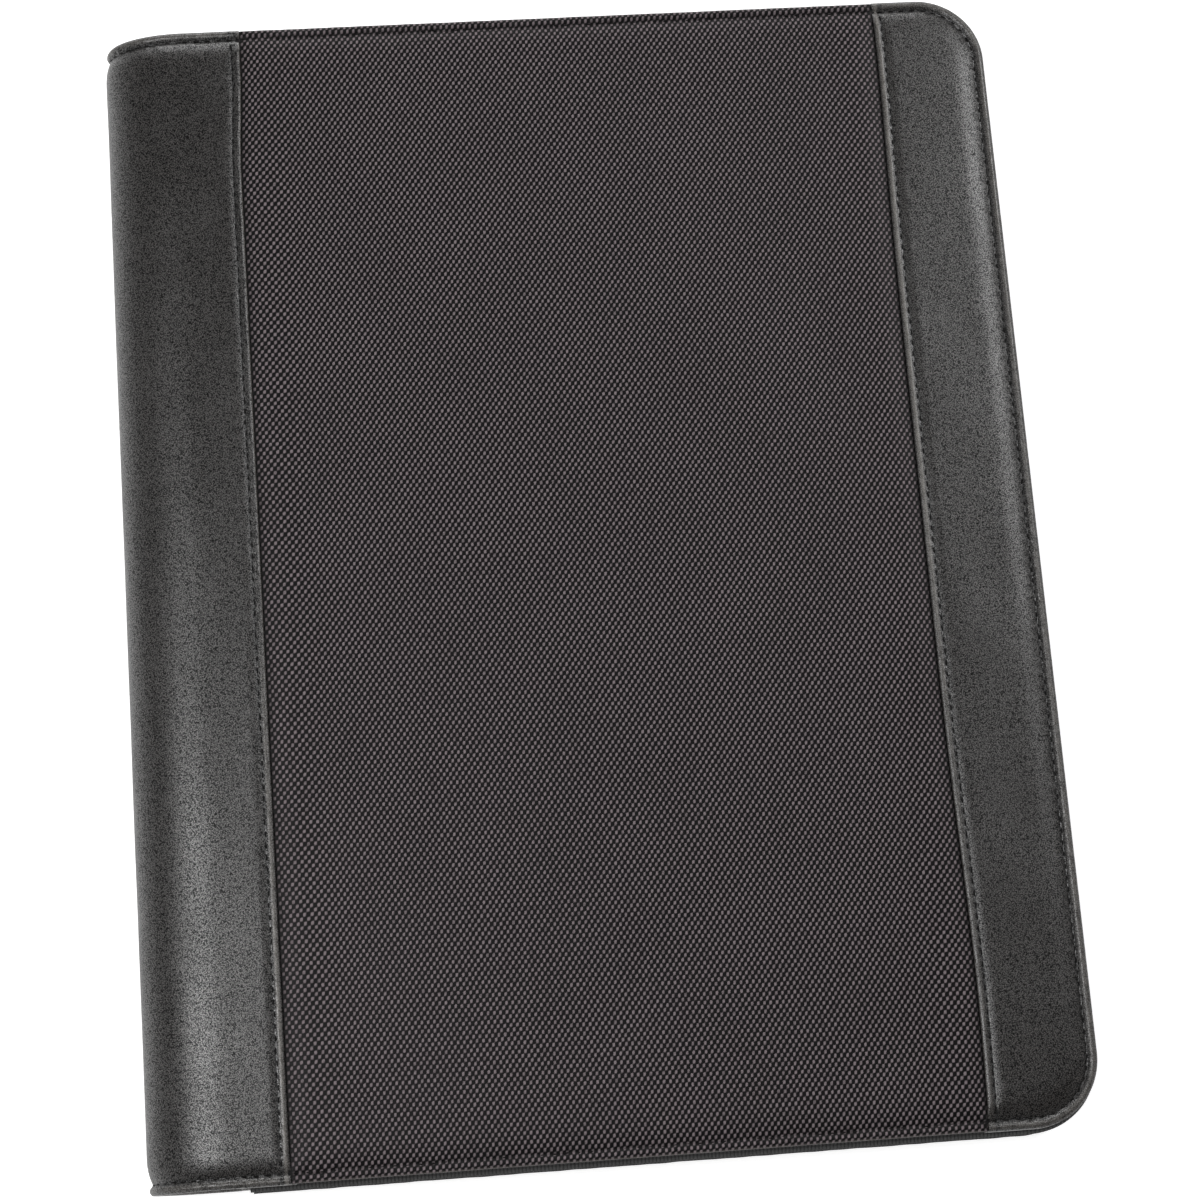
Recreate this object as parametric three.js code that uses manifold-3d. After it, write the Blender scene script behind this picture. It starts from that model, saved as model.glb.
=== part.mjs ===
// Zip-round conference folder, closed and lying on its back cover.
// +Z is up, +X runs from the spine to the fore edge, +Y runs up the page.
// The origin is the middle of the face that the folder lies on. All sizes are in millimetres.
import * as THREE from "three";
import { mergeVertices } from "three/addons/utils/BufferGeometryUtils.js";
import Module from "manifold-3d";

// Overall size
const WIDTH = 270;
const LENGTH = 345;
const THICKNESS = 30;
const CORNER_RADIUS = 20;
// How far the rounded spine stands out past the flat of the covers
const SPINE_BULGE = 24;

// Outer panels: the seams between nylon and leatherette
const EDGE_STRIP_WIDTH = 34;
const SPINE_STRIP_WIDTH = 42;
const SKIN = 0.8;
const HEM_WIDTH = 14;
// Turned and stitched edge: distance of the stitch line, depth of its groove, height of the rolled bead
const STITCH_INSET = 3.2;
const GROOVE_DEPTH = 1.3;
const BEAD_RISE = 0.9;
const EDGE_ROUND = 0.7;
// Width over which the padded face swells up from a stitch line
const PUFF_WIDTH = 8;
// Folded seam of the leatherette over the nylon
const FOLD_WIDTH = 2.4;
const FOLD_GROOVE = 0.65;
const FOLD_BEAD = 0.35;
const FOLD_PUFF = 5;
const NYLON_DIP = 0.9;
const NYLON_PUFF = 7;

// Layers of a cover, from outside to inside
const FOAM = 2.2;
const BOARD = 2;
const TAPE = 0.7;
const LINING = 0.6;
// Clearance between neighbouring layers
const FIT = 0.1;
const BOARD_SPINE_MARGIN = 2;

// Spine, cut into rigid slices that hinge on its outer skin
const SPINE_SLICES = 3;
const SLICE_GAP = 0.2;
const SPINE_LINING_INSET = 3;

// Zip
const ZIP_INSET = 3;
const TAPE_FLANGE = 9;
const TOOTH_PITCH = 4;
const TOOTH_GAP = 0.3;
const TOOTH_REACH = 1;
const TOOTH_ROOT = 1.3;
const CORD_HEIGHT = 2.7;
const TOOTH_THICKNESS = 2.4;
const TOOTH_TAPER = 0.25;
// Where the teeth of each tape stand within a pitch
const FRONT_TOOTH_SHIFT = 0.25;
const BACK_TOOTH_SHIFT = 0.75;
const ZIP_START = 5;
const STOP_START = 1;
const STOP_LENGTH = 2.6;

// Slider and pull tab
const SLIDER_LENGTH = 14;
const SLIDER_FRONT_WIDTH = 12.4;
const SLIDER_REAR_WIDTH = 10.8;
const SLIDER_PLATE = 1.1;
const SLIDER_CLEARANCE = 0.35;
const SLIDER_FLANGE = 1;
const WEDGE_LENGTH = 4.5;
const WEDGE_WIDTH = 2.6;
const BRIDGE_LENGTH = 8;
const BRIDGE_WIDTH = 2.2;
const BRIDGE_WIRE = 1;
const BRIDGE_CLEARANCE = 0.25;
const PULL_LENGTH = 34;
const PULL_WIDTH = 7;
const PULL_THICKNESS = 1.4;
const PULL_EYE = 1.2;
const PULL_WAIST = 0.7;

// Pockets inside the front cover
const POCKET_CLOTH = 0.6;
const POCKET_MARGIN = 3;
const POCKET_ROUND = 12;
const DOCUMENT_POCKET_LENGTH = 172;
const DOCUMENT_POCKET_SLANT = 26;
const CARD_POCKET_WIDTH = 98;
const CARD_POCKET_HEIGHT = 56;
const CARD_POCKET_STEP = 17;
const CARD_POCKETS = 3;
const THUMB_SHARE = 0.14;
const THUMB_DEPTH = 6;
const PEN_LOOP_DIAMETER = 12;
const PEN_LOOP_LENGTH = 26;
const PEN_LOOP_ELASTIC = 1;
const PEN_LOOP_TAB = 7;
// From the head edge of the cover to the top of the loop
const PEN_LOOP_HEAD_MARGIN = 62.5;

// Writing pad and the pocket that it tucks into, with the room left round the pad inside the cover.
// The covers are sized so that an A4 pad, 210 by 297, is left.
const PAD_FORE_MARGIN = 20.5;
const PAD_SPINE_MARGIN = 39.5;
const PAD_END_MARGIN = 24;
const PAD_SHEETS = 8;
const PAD_BACKING = 1.2;
const PAD_BINDING = 0.4;
const PAD_BINDING_WIDTH = 24;
const PAD_POCKET_LENGTH = 150;
const PAD_POCKET_RIM = 1.6;

// Facets
const ARC_STEPS = 6;
const SLICE_STEPS = 4;
const LOOP_STEPS = 20;
const TOLERANCE = 1e-4;

const wasm = await Module();
wasm.setup();

// Places worked out from the sizes
const foreEdge = WIDTH / 2;
const headEdge = LENGTH / 2;
const spineSeam = -foreEdge + SPINE_STRIP_WIDTH;
const foreSeam = foreEdge - EDGE_STRIP_WIDTH;
const curveStart = -foreEdge + SPINE_BULGE;
const boardSpineEdge = curveStart + BOARD_SPINE_MARGIN;
const midHeight = THICKNESS / 2;

// Depths below the outer face of a cover
const foamTop = SKIN + FIT;
const foamBottom = foamTop + FOAM;
const boardTop = foamBottom + FIT;
const boardBottom = boardTop + BOARD;
const hemTop = boardBottom + FIT;
const hemBottom = hemTop + SKIN;
const flangeTop = hemBottom + FIT;
const flangeBottom = flangeTop + TAPE;
const liningTop = hemTop;
const liningBottom = liningTop + LINING;
const borderLiningTop = flangeBottom + FIT;
const borderLiningBottom = borderLiningTop + LINING;
const hingeLiningTop = boardTop;
const hingeLiningBottom = hingeLiningTop + LINING;

function material(color, roughness, metalness = 0) {
  return new THREE.MeshStandardMaterial({ color, roughness, metalness, flatShading: true });
}

const finishes = {
  nylon: () => material(0x2b2a29, 0.8),
  leatherette: () => material(0x242322, 0.45),
  foam: () => material(0x5a5a58, 0.95),
  board: () => material(0x8c8274, 0.9),
  lining: () => material(0x1d1d1f, 0.85),
  tape: () => material(0x19191a, 0.8),
  teeth: () => material(0x202021, 0.4),
  metal: () => material(0x3a3b3d, 0.35, 0.9),
  elastic: () => material(0x1a1a1b, 0.75),
  card: () => material(0xb9ab92, 0.9),
  paper: () => material(0xf2f1ec, 0.9),
  binding: () => material(0x2c3038, 0.6),
};

function piece(name, geometry, finish) {
  const mesh = new THREE.Mesh(geometry, finishes[finish]());
  mesh.name = name;
  return mesh;
}

// Geometry helpers

function signedVolume(points, faces) {
  let sum = 0;
  for (let i = 0; i < faces.length; i += 3) {
    const [a, b, c] = [points[faces[i]], points[faces[i + 1]], points[faces[i + 2]]];
    sum += a.dot(new THREE.Vector3().crossVectors(b, c));
  }
  return sum / 6;
}

// A closed body from its points and triangles, turned so that its faces point out.
function closedBody(points, faces) {
  if (signedVolume(points, faces) < 0) faces.reverse();
  const geometry = new THREE.BufferGeometry();
  geometry.setFromPoints(points);
  geometry.setIndex(faces);
  geometry.computeVertexNormals();
  return geometry;
}

// Joins rings of equal, even point count into one body.
// The point i of a ring lies across the body from the point i from its end.
// So a ladder of triangles caps it.
function loft(rings) {
  const count = rings[0].length;
  const faces = [];
  for (let r = 0; r + 1 < rings.length; r++) {
    const low = r * count;
    const high = low + count;
    for (let i = 0; i < count; i++) {
      const j = (i + 1) % count;
      faces.push(low + i, low + j, high + j, low + i, high + j, high + i);
    }
  }
  const end = count * (rings.length - 1);
  for (let i = 0; i + 1 < count / 2; i++) {
    const across = count - 1 - i;
    faces.push(i, across, i + 1, i + 1, across, across - 1);
    faces.push(end + i, end + i + 1, end + across, end + i + 1, end + across - 1, end + across);
  }
  return closedBody(rings.flat(), faces);
}

function solid(geometry) {
  const bare = geometry.clone();
  bare.deleteAttribute("normal");
  bare.deleteAttribute("uv");
  const merged = mergeVertices(bare, TOLERANCE);
  return new wasm.Manifold(
    new wasm.Mesh({
      numProp: 3,
      vertProperties: merged.attributes.position.array,
      triVerts: new Uint32Array(merged.index.array),
    }),
  );
}

function bodyOf(manifold) {
  const mesh = manifold.getMesh();
  const geometry = new THREE.BufferGeometry();
  geometry.setAttribute("position", new THREE.BufferAttribute(mesh.vertProperties, 3));
  geometry.setIndex(new THREE.BufferAttribute(mesh.triVerts, 1));
  geometry.computeVertexNormals();
  return geometry;
}

function box(x0, x1, y0, y1, z0, z1) {
  const geometry = new THREE.BoxGeometry(x1 - x0, y1 - y0, z1 - z0);
  return geometry.translate((x0 + x1) / 2, (y0 + y1) / 2, (z0 + z1) / 2);
}

// Height of a point at a depth below the front cover's outer face
const heightAt = (depth) => THICKNESS - depth;

// Profile of the padded face

// Depth of the outer surface at a distance in from a turned edge
function edgeDepth(distance) {
  if (distance <= STITCH_INSET) {
    const t = distance / STITCH_INSET;
    return GROOVE_DEPTH - BEAD_RISE * Math.sin(Math.PI * t) + EDGE_ROUND * (1 - t) ** 4;
  }
  const t = Math.min(1, (distance - STITCH_INSET) / PUFF_WIDTH);
  return GROOVE_DEPTH * (1 - t) ** 2;
}

// Depth of the skin's inner surface there
function innerDepth(distance) {
  return SKIN + (distance <= STITCH_INSET ? GROOVE_DEPTH : edgeDepth(distance));
}

// Depth of the leatherette at a distance in from its fold over the nylon
function foldDepth(distance) {
  if (distance <= FOLD_WIDTH) {
    return FOLD_GROOVE - FOLD_BEAD * Math.sin((Math.PI * distance) / FOLD_WIDTH);
  }
  const t = Math.min(1, (distance - FOLD_WIDTH) / FOLD_PUFF);
  return FOLD_GROOVE * (1 - t) ** 2;
}

// Depth of the nylon at a distance from the fold that lies over its edge
function nylonDepth(distance) {
  const t = Math.min(1, distance / NYLON_PUFF);
  return NYLON_DIP * (1 - t) ** 2;
}

const edgeStations = [0, 0.12, 0.5, 0.84, 1]
  .map((t) => t * STITCH_INSET)
  .concat([0.2, 0.5, 1].map((t) => STITCH_INSET + t * PUFF_WIDTH));
const innerStations = [SKIN, STITCH_INSET].concat(
  [0.5, 1].map((t) => STITCH_INSET + t * PUFF_WIDTH),
);
const foldStations = [0, 0.5, 1]
  .map((t) => t * FOLD_WIDTH)
  .concat([0.4, 1].map((t) => FOLD_WIDTH + t * FOLD_PUFF));
const nylonStations = [0, 0.25, 0.6, 1].map((t) => t * NYLON_PUFF);

// Outline of a cover, inset from its edges.
// It runs from x on the spine side to the fore edge with its round corners.
function coverRing(x, inset, z) {
  const radius = CORNER_RADIUS - inset;
  const cx = foreEdge - CORNER_RADIUS;
  const cy = headEdge - CORNER_RADIUS;
  const ring = [new THREE.Vector3(x, -(headEdge - inset), z)];
  for (const side of [-1, 1]) {
    for (let i = 0; i <= ARC_STEPS; i++) {
      const turn = ((side < 0 ? i - ARC_STEPS : i) / ARC_STEPS) * (Math.PI / 2);
      const y = side * cy + radius * Math.sin(turn);
      ring.push(new THREE.Vector3(cx + radius * Math.cos(turn), y, z));
    }
  }
  ring.push(new THREE.Vector3(x, headEdge - inset, z));
  return ring;
}

// Cross-section line of the shell: a point on the outer face and the direction to the inside
function flatPoint(x) {
  return { x, z: THICKNESS, nx: 0, nz: -1 };
}

// Point of the rounded spine where the skin has turned by an angle from the front cover's plane
function spinePoint(turn) {
  const u = Math.atan2(SPINE_BULGE * Math.sin(turn), midHeight * Math.cos(turn));
  return {
    x: curveStart - SPINE_BULGE * Math.sin(u),
    z: midHeight + midHeight * Math.cos(u),
    nx: Math.sin(turn),
    nz: -Math.cos(turn),
  };
}

// Angles at which the slices of the spine meet
const hingeTurns = Array.from(
  { length: SPINE_SLICES + 1 },
  (_, i) => ((i + 0.5) * Math.PI) / (SPINE_SLICES + 1),
);

// Points along the spine between two angles, drawn back from each cut by half the gap between slices
function spineLine(from, to, steps, cutFrom, cutTo) {
  const line = [];
  for (let i = 0; i <= steps; i++) {
    const point = spinePoint(from + ((to - from) * i) / steps);
    const back = (i === 0 && cutFrom ? 1 : 0) - (i === steps && cutTo ? 1 : 0);
    point.x += (back * SLICE_GAP * point.nz) / 2;
    point.z -= (back * SLICE_GAP * point.nx) / 2;
    line.push(point);
  }
  return line;
}

// Loft along Y of a band that follows a cross-section line, with stations in from head and tail.
// top and bottom give the band's depths at a point of the line and such a distance.
function band(line, stations, top, bottom) {
  const places = stations
    .map((d) => ({ d, y: -(headEdge - d) }))
    .concat([...stations].reverse().map((d) => ({ d, y: headEdge - d })));
  const at = (point, depth, y) =>
    new THREE.Vector3(point.x + point.nx * depth, y, point.z + point.nz * depth);
  return loft(
    places.map(({ d, y }) => [
      ...line.map((point) => at(point, top(point, d), y)),
      ...[...line].reverse().map((point) => at(point, bottom(point, d), y)),
    ]),
  );
}

// The same line, run on straight past both its ends
function extended(line, reach) {
  const first = { ...line[0] };
  const last = { ...line[line.length - 1] };
  first.x -= reach * first.nz;
  first.z += reach * first.nx;
  last.x += reach * last.nz;
  last.z -= reach * last.nx;
  return [first, ...line, last];
}

// Outer skin

const overBoard = (point) => point.nx === 0 && point.x > boardSpineEdge - TOLERANCE;

// A panel of skin along a line.
// Its head and tail are turned in over the board, or over the foam in the curve.
function panel(line, top, under) {
  const wide = extended(line, FOLD_PUFF);
  const outer = band(
    line,
    edgeStations,
    (point, d) => Math.max(top(point), edgeDepth(d)),
    (point) => (overBoard(point) ? hemBottom : hingeLiningBottom),
  );
  const inner = band(
    wide,
    innerStations,
    (point, d) => Math.max(under(point), innerDepth(d)),
    (point) => (overBoard(point) ? hemTop : hemBottom),
  );
  const window = band(
    wide,
    [HEM_WIDTH],
    () => boardTop,
    () => hemBottom + FIT,
  );
  return bodyOf(solid(outer).subtract(solid(inner)).subtract(solid(window)));
}

function nylonPanel() {
  const line = nylonStations
    .map((g) => ({ ...flatPoint(foreSeam - FIT - g), seam: g }))
    .concat(
      [...nylonStations].reverse().map((g) => ({ ...flatPoint(spineSeam + FIT + g), seam: g })),
    );
  const dip = (point) => nylonDepth(point.seam);
  return panel(line, dip, (point) => SKIN + dip(point));
}

// Leatherette on the spine side of the front face, down to the first slice of the spine
function spineStrip() {
  const line = foldStations
    .map((g) => ({ ...flatPoint(spineSeam - g), seam: g }))
    .concat([flatPoint(boardSpineEdge), flatPoint(curveStart)])
    .concat(spineLine(0, hingeTurns[0], 2, false, true).slice(1));
  const fold = (point) => (point.seam === undefined ? 0 : foldDepth(point.seam));
  const under = (point) => SKIN + (point.seam <= FOLD_WIDTH ? FOLD_GROOVE : fold(point));
  return panel(line, fold, under);
}

// Distance in from the fold that goes with a distance in from the turned edge
function foldInset(distance) {
  if (distance <= STITCH_INSET) return (distance / STITCH_INSET) * FOLD_WIDTH;
  return FOLD_WIDTH + ((distance - STITCH_INSET) / PUFF_WIDTH) * FOLD_PUFF;
}

// Leatherette strip round the fore edge, with its round corners
function edgeStrip() {
  const outer = [
    coverRing(foreSeam, EDGE_ROUND, heightAt(hemBottom)),
    coverRing(foreSeam, 0, heightAt(hemBottom - EDGE_ROUND)),
    ...edgeStations.map((d) => coverRing(foreSeam + foldInset(d), d, heightAt(edgeDepth(d)))),
  ];
  const past = foreSeam - FOLD_PUFF;
  const innerLeft = (d) => (d <= STITCH_INSET ? past : foreSeam + foldInset(d));
  const inner = [
    coverRing(past, SKIN, heightAt(hemTop)),
    ...innerStations.map((d) => coverRing(innerLeft(d), d, heightAt(innerDepth(d)))),
  ];
  const window = [
    coverRing(past, HEM_WIDTH, heightAt(hemBottom + FIT)),
    coverRing(past, HEM_WIDTH, heightAt(boardTop)),
  ];
  return bodyOf(solid(loft(outer)).subtract(solid(loft(inner))).subtract(solid(loft(window))));
}

// Layers of a cover

const paddingInset = SKIN + 2 * FIT;
const paddingStations = [paddingInset, ...innerStations.slice(1)];

// Foam under the skin, pressed down along the seams and run on into the curve of the spine
function coverPadding() {
  const flat = [
    coverRing(curveStart, paddingInset, heightAt(foamBottom)),
    ...paddingStations.map((d) => coverRing(curveStart, d, heightAt(innerDepth(d) + FIT))),
  ];
  const curve = band(
    [flatPoint(curveStart + BOARD_SPINE_MARGIN), ...spineLine(0, hingeTurns[0], 2, false, true)],
    paddingStations,
    (_, d) => innerDepth(d) + FIT,
    () => foamBottom,
  );
  const seamTop = heightAt(SKIN + GROOVE_DEPTH);
  const channels = [
    [foreSeam - NYLON_PUFF, foreSeam + FOLD_WIDTH + FOLD_PUFF],
    [spineSeam - FOLD_WIDTH - FOLD_PUFF, spineSeam + NYLON_PUFF],
  ];
  let foam = solid(loft(flat)).add(solid(curve));
  for (const [x0, x1] of channels) {
    foam = foam.subtract(solid(box(x0, x1, -LENGTH, LENGTH, seamTop, THICKNESS)));
  }
  return bodyOf(foam);
}

function coverBoard() {
  return loft([
    coverRing(boardSpineEdge, paddingInset, heightAt(boardBottom)),
    coverRing(boardSpineEdge, paddingInset, heightAt(boardTop)),
  ]);
}

// Cloth lining: flat on the board, stepped over the hem and the zip flange.
// It is turned down the edge of the board on the spine side.
function coverLining() {
  const left = boardSpineEdge - FIT - LINING;
  const past = left - LINING;
  const edge = ZIP_INSET + TAPE / 2 + 3 * FIT;
  const step = HEM_WIDTH + LINING;
  const ramp = borderLiningTop - liningTop;
  const sheet = [
    coverRing(left, edge, heightAt(borderLiningBottom)),
    coverRing(left, edge, heightAt(liningTop)),
  ];
  const below = [
    coverRing(past, step, heightAt(borderLiningBottom + FIT)),
    coverRing(past, step, heightAt(borderLiningBottom)),
    coverRing(past, step + ramp, heightAt(liningBottom)),
  ];
  const rim = [
    coverRing(past, 0, heightAt(borderLiningTop)),
    coverRing(past, 0, heightAt(liningTop - FIT)),
  ];
  const island = [
    coverRing(past - FIT, step - FIT, heightAt(borderLiningTop + FIT)),
    coverRing(past - FIT, step - FIT, heightAt(borderLiningTop)),
    coverRing(past - FIT, step + ramp - FIT, heightAt(liningTop)),
    coverRing(past - FIT, step + ramp - FIT, heightAt(boardTop)),
  ];
  const turnedEnd = headEdge - step - ramp;
  const turned = box(
    left,
    left + LINING,
    -turnedEnd,
    turnedEnd,
    heightAt(liningBottom),
    heightAt(hingeLiningBottom + FIT),
  );
  return bodyOf(
    solid(loft(sheet))
      .subtract(solid(loft(below)))
      .subtract(solid(loft(rim)).subtract(solid(loft(island))))
      .add(solid(turned)),
  );
}

// Lining of the curve, from the board's edge to the first slice
function coverHingeLining() {
  return hingeLining([
    flatPoint(boardSpineEdge - FIT),
    ...spineLine(0, hingeTurns[0], 2, false, true),
  ]);
}

// Layers of the spine

function hingeLining(line) {
  return band(
    line,
    [SPINE_LINING_INSET],
    () => hingeLiningTop,
    () => hingeLiningBottom,
  );
}

function spineSlice(name, index) {
  const group = new THREE.Group();
  const line = spineLine(hingeTurns[index], hingeTurns[index + 1], SLICE_STEPS, true, true);
  const skin = panel(
    line,
    () => 0,
    () => SKIN,
  );
  const padding = band(
    line,
    paddingStations,
    (_, d) => innerDepth(d) + FIT,
    () => foamBottom,
  );
  group.add(piece(`${name}_leatherette`, skin, "leatherette"));
  group.add(piece(`${name}_padding`, padding, "foam"));
  group.add(piece(`${name}_lining`, hingeLining(line), "lining"));
  return group;
}

// Zip

const zipStart = curveStart + ZIP_START;
const zipRadius = CORNER_RADIUS - ZIP_INSET;
const headRun = foreEdge - CORNER_RADIUS - zipStart;
const foreRun = 2 * (headEdge - CORNER_RADIUS);
const arcRun = (zipRadius * Math.PI) / 2;
const zipLength = 2 * headRun + 2 * arcRun + foreRun;

// Place and outward direction at a distance along the zip, from the spine round head, fore edge and tail
function zipPoint(s) {
  const cx = foreEdge - CORNER_RADIUS;
  const cy = headEdge - CORNER_RADIUS;
  const along = s - headRun;
  if (along <= 0) return { x: zipStart + s, y: headEdge - ZIP_INSET, nx: 0, ny: 1 };
  if (s > zipLength / 2) {
    const mirrored = zipPoint(zipLength - s);
    return { ...mirrored, y: -mirrored.y, ny: -mirrored.ny };
  }
  if (along < arcRun) {
    const turn = along / zipRadius;
    const [nx, ny] = [Math.sin(turn), Math.cos(turn)];
    return { x: cx + zipRadius * nx, y: cy + zipRadius * ny, nx, ny };
  }
  return { x: foreEdge - ZIP_INSET, y: cy - (along - arcRun), nx: 1, ny: 0 };
}

function besideZip(s, out, z) {
  const { x, y, nx, ny } = zipPoint(s);
  return new THREE.Vector3(x + out * nx, y + out * ny, z);
}

// Distances along the zip at which a swept piece needs a ring
function zipStations(from, to) {
  const corners = [];
  for (const start of [headRun, headRun + arcRun + foreRun]) {
    for (let i = 0; i <= ARC_STEPS; i++) corners.push(start + (arcRun * i) / ARC_STEPS);
  }
  return [from, ...corners.filter((s) => s > from && s < to), to];
}

const cordTop = TOOTH_ROOT + CORD_HEIGHT;

// Tape of the front cover: a wall below the cover's rim and a flange sewn in between hem and lining
function zipTape() {
  const half = TAPE / 2;
  const low = midHeight + cordTop + FIT;
  const flangeLow = heightAt(flangeBottom);
  const flangeHigh = heightAt(flangeTop);
  const profile = [
    [-half, low],
    [-half, flangeLow],
    [-TAPE_FLANGE, flangeLow],
    [-TAPE_FLANGE, flangeHigh],
    [half, flangeHigh],
    [half, low],
  ];
  const rings = zipStations(0, zipLength).map((s) => profile.map(([out, z]) => besideZip(s, out, z)));
  return loft(rings);
}

const toothWidth = TOOTH_PITCH / 2 - TOOTH_GAP;
const stopTo = STOP_START + STOP_LENGTH;
const sliderFrom = stopTo + TOOTH_GAP;
const teethFrom = sliderFrom + SLIDER_LENGTH + TOOTH_GAP;
const teethTo = zipLength - stopTo - TOOTH_GAP;
const toothCount = Math.floor((teethTo - teethFrom - toothWidth) / TOOTH_PITCH);

// A run of teeth on its cord.
// side is 1 on the front tape, which the teeth hang down from, and -1 on the back tape.
function teeth(side, from, to) {
  const points = [];
  const faces = [];
  const root = toothWidth + TOOTH_TAPER;
  const tip = toothWidth - TOOTH_TAPER;
  const shift = side > 0 ? FRONT_TOOTH_SHIFT : BACK_TOOTH_SHIFT;
  const centre = (i) => teethFrom + (i + shift) * TOOTH_PITCH;
  const rise = (height) => midHeight + side * height;
  // Adds the inner and outer point at a place and returns the index of the inner one
  const pair = (s, z) => {
    points.push(besideZip(s, -TOOTH_THICKNESS / 2, z), besideZip(s, TOOTH_THICKNESS / 2, z));
    return points.length - 2;
  };
  // A strip between two pairs
  const strip = (a, b) => faces.push(a, b, b + 1, a, b + 1, a + 1);
  // The same triangle on the inner and the outer side
  const sides = (a, b, c) => faces.push(a, c, b, a + 1, b + 1, c + 1);
  let base = pair(centre(from) - root / 2, rise(cordTop));
  let start = pair(centre(from) - root / 2, rise(TOOTH_ROOT));
  strip(base, start);
  for (let i = from; i < to; i++) {
    const s = centre(i);
    const rightTip = pair(s - tip / 2, rise(-TOOTH_REACH));
    const leftTip = pair(s + tip / 2, rise(-TOOTH_REACH));
    const finish = pair(s + root / 2, rise(TOOTH_ROOT));
    const next = s + TOOTH_PITCH - root / 2 - (i === to - 1 ? TOOTH_GAP : 0);
    const nextBase = pair(next, rise(cordTop));
    const nextStart = pair(next, rise(TOOTH_ROOT));
    strip(start, rightTip);
    strip(rightTip, leftTip);
    strip(leftTip, finish);
    strip(finish, nextStart);
    strip(nextBase, base);
    sides(base, start, finish);
    sides(start, rightTip, leftTip);
    sides(start, leftTip, finish);
    sides(base, finish, nextBase);
    sides(nextBase, finish, nextStart);
    base = nextBase;
    start = nextStart;
  }
  strip(start, base);
  return closedBody(points, faces);
}

// Teeth that stand in the straight head run, round the fore edge, and in the straight tail run
const headTeeth = Math.floor((headRun - teethFrom) / TOOTH_PITCH);
const tailTeeth = Math.ceil((zipLength - headRun - teethFrom) / TOOTH_PITCH);

function zipHalf(name, side) {
  const group = new THREE.Group();
  const runs = [
    ["head", 0, headTeeth],
    ["fore_edge", headTeeth, tailTeeth],
    ["tail", tailTeeth, toothCount],
  ];
  for (const [run, from, to] of runs) {
    group.add(piece(`${name}_teeth_${run}`, teeth(side, from, to), "teeth"));
  }
  group.add(piece(`${name}_stop_head`, zipStop(side, STOP_START), "metal"));
  group.add(piece(`${name}_stop_tail`, zipStop(side, zipLength - stopTo), "metal"));
  return group;
}

// Block clamped to the edge of a tape at the end of the teeth
function zipStop(side, s) {
  const half = TOOTH_THICKNESS / 2;
  const chamfer = half / 3;
  const rings = [
    [0, half - chamfer],
    [chamfer, half],
    [STOP_LENGTH - chamfer, half],
    [STOP_LENGTH, half - chamfer],
  ].map(([along, out]) => [
    besideZip(s + along, -out, midHeight + side * cordTop),
    besideZip(s + along, -out, midHeight + side * (TOOTH_GAP + chamfer)),
    besideZip(s + along, -out + chamfer, midHeight + side * TOOTH_GAP),
    besideZip(s + along, out - chamfer, midHeight + side * TOOTH_GAP),
    besideZip(s + along, out, midHeight + side * (TOOTH_GAP + chamfer)),
    besideZip(s + along, out, midHeight + side * cordTop),
  ]);
  return loft(rings);
}

// Slider: its own frame has X along the zip, Y across the two tapes and Z away from the folder

const channel = TOOTH_THICKNESS / 2 + SLIDER_CLEARANCE;
const plateTop = channel + SLIDER_PLATE;
const flangeInner = TAPE / 2 + SLIDER_CLEARANCE;
const pullAxis = plateTop + BRIDGE_CLEARANCE + PULL_THICKNESS / 2;
const bridgeInside = pullAxis + PULL_THICKNESS / 2 + BRIDGE_CLEARANCE;

function extruded(shape, low, high, curveSegments = ARC_STEPS) {
  const options = { depth: high - low, bevelEnabled: false, curveSegments };
  return new THREE.ExtrudeGeometry(shape, options).translate(0, 0, low);
}

// Half width of the slider's plates at a place along it: wide at the front, where the tapes part
function sliderHalf(x) {
  const t = THREE.MathUtils.smoothstep(x, -SLIDER_LENGTH / 2, SLIDER_LENGTH / 2);
  return THREE.MathUtils.lerp(SLIDER_FRONT_WIDTH, SLIDER_REAR_WIDTH, t) / 2;
}

function sliderBody() {
  const half = SLIDER_LENGTH / 2;
  const corner = SLIDER_FLANGE;
  const stations = [-half + corner, 0, half - corner];
  const upper = stations.map((x) => new THREE.Vector2(x, sliderHalf(x)));
  const lower = [...upper].reverse().map((p) => new THREE.Vector2(p.x, -p.y));
  const rear = sliderHalf(half) - corner;
  const front = sliderHalf(-half) - corner;
  const plate = new THREE.Shape([
    new THREE.Vector2(-half, front),
    ...upper,
    new THREE.Vector2(half, rear),
    new THREE.Vector2(half, -rear),
    ...lower,
    new THREE.Vector2(-half, -front),
  ]);
  const edge = (side) =>
    new THREE.Shape([
      ...upper.map((p) => new THREE.Vector2(p.x, side * p.y)),
      ...[...upper].reverse().map((p) => new THREE.Vector2(p.x, side * (p.y - SLIDER_FLANGE))),
    ]);
  const tip = -half + corner + WEDGE_LENGTH;
  const wedge = new THREE.Shape([
    new THREE.Vector2(-half + corner, -WEDGE_WIDTH / 4),
    new THREE.Vector2(-half + 2 * corner, -WEDGE_WIDTH / 2),
    new THREE.Vector2(tip, 0),
    new THREE.Vector2(-half + 2 * corner, WEDGE_WIDTH / 2),
    new THREE.Vector2(-half + corner, WEDGE_WIDTH / 4),
  ]);
  let body = solid(extruded(wedge, -plateTop + SLIDER_PLATE / 2, plateTop - SLIDER_PLATE / 2));
  for (const face of [-1, 1]) {
    const [low, high] = [face * channel, face * plateTop].sort((a, b) => a - b);
    const reach = [face * flangeInner, face * (plateTop - SLIDER_PLATE / 2)].sort((a, b) => a - b);
    body = body.add(solid(extruded(plate, low, high)));
    for (const side of [-1, 1]) body = body.add(solid(extruded(edge(side), ...reach)));
  }
  return bodyOf(body);
}

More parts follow.
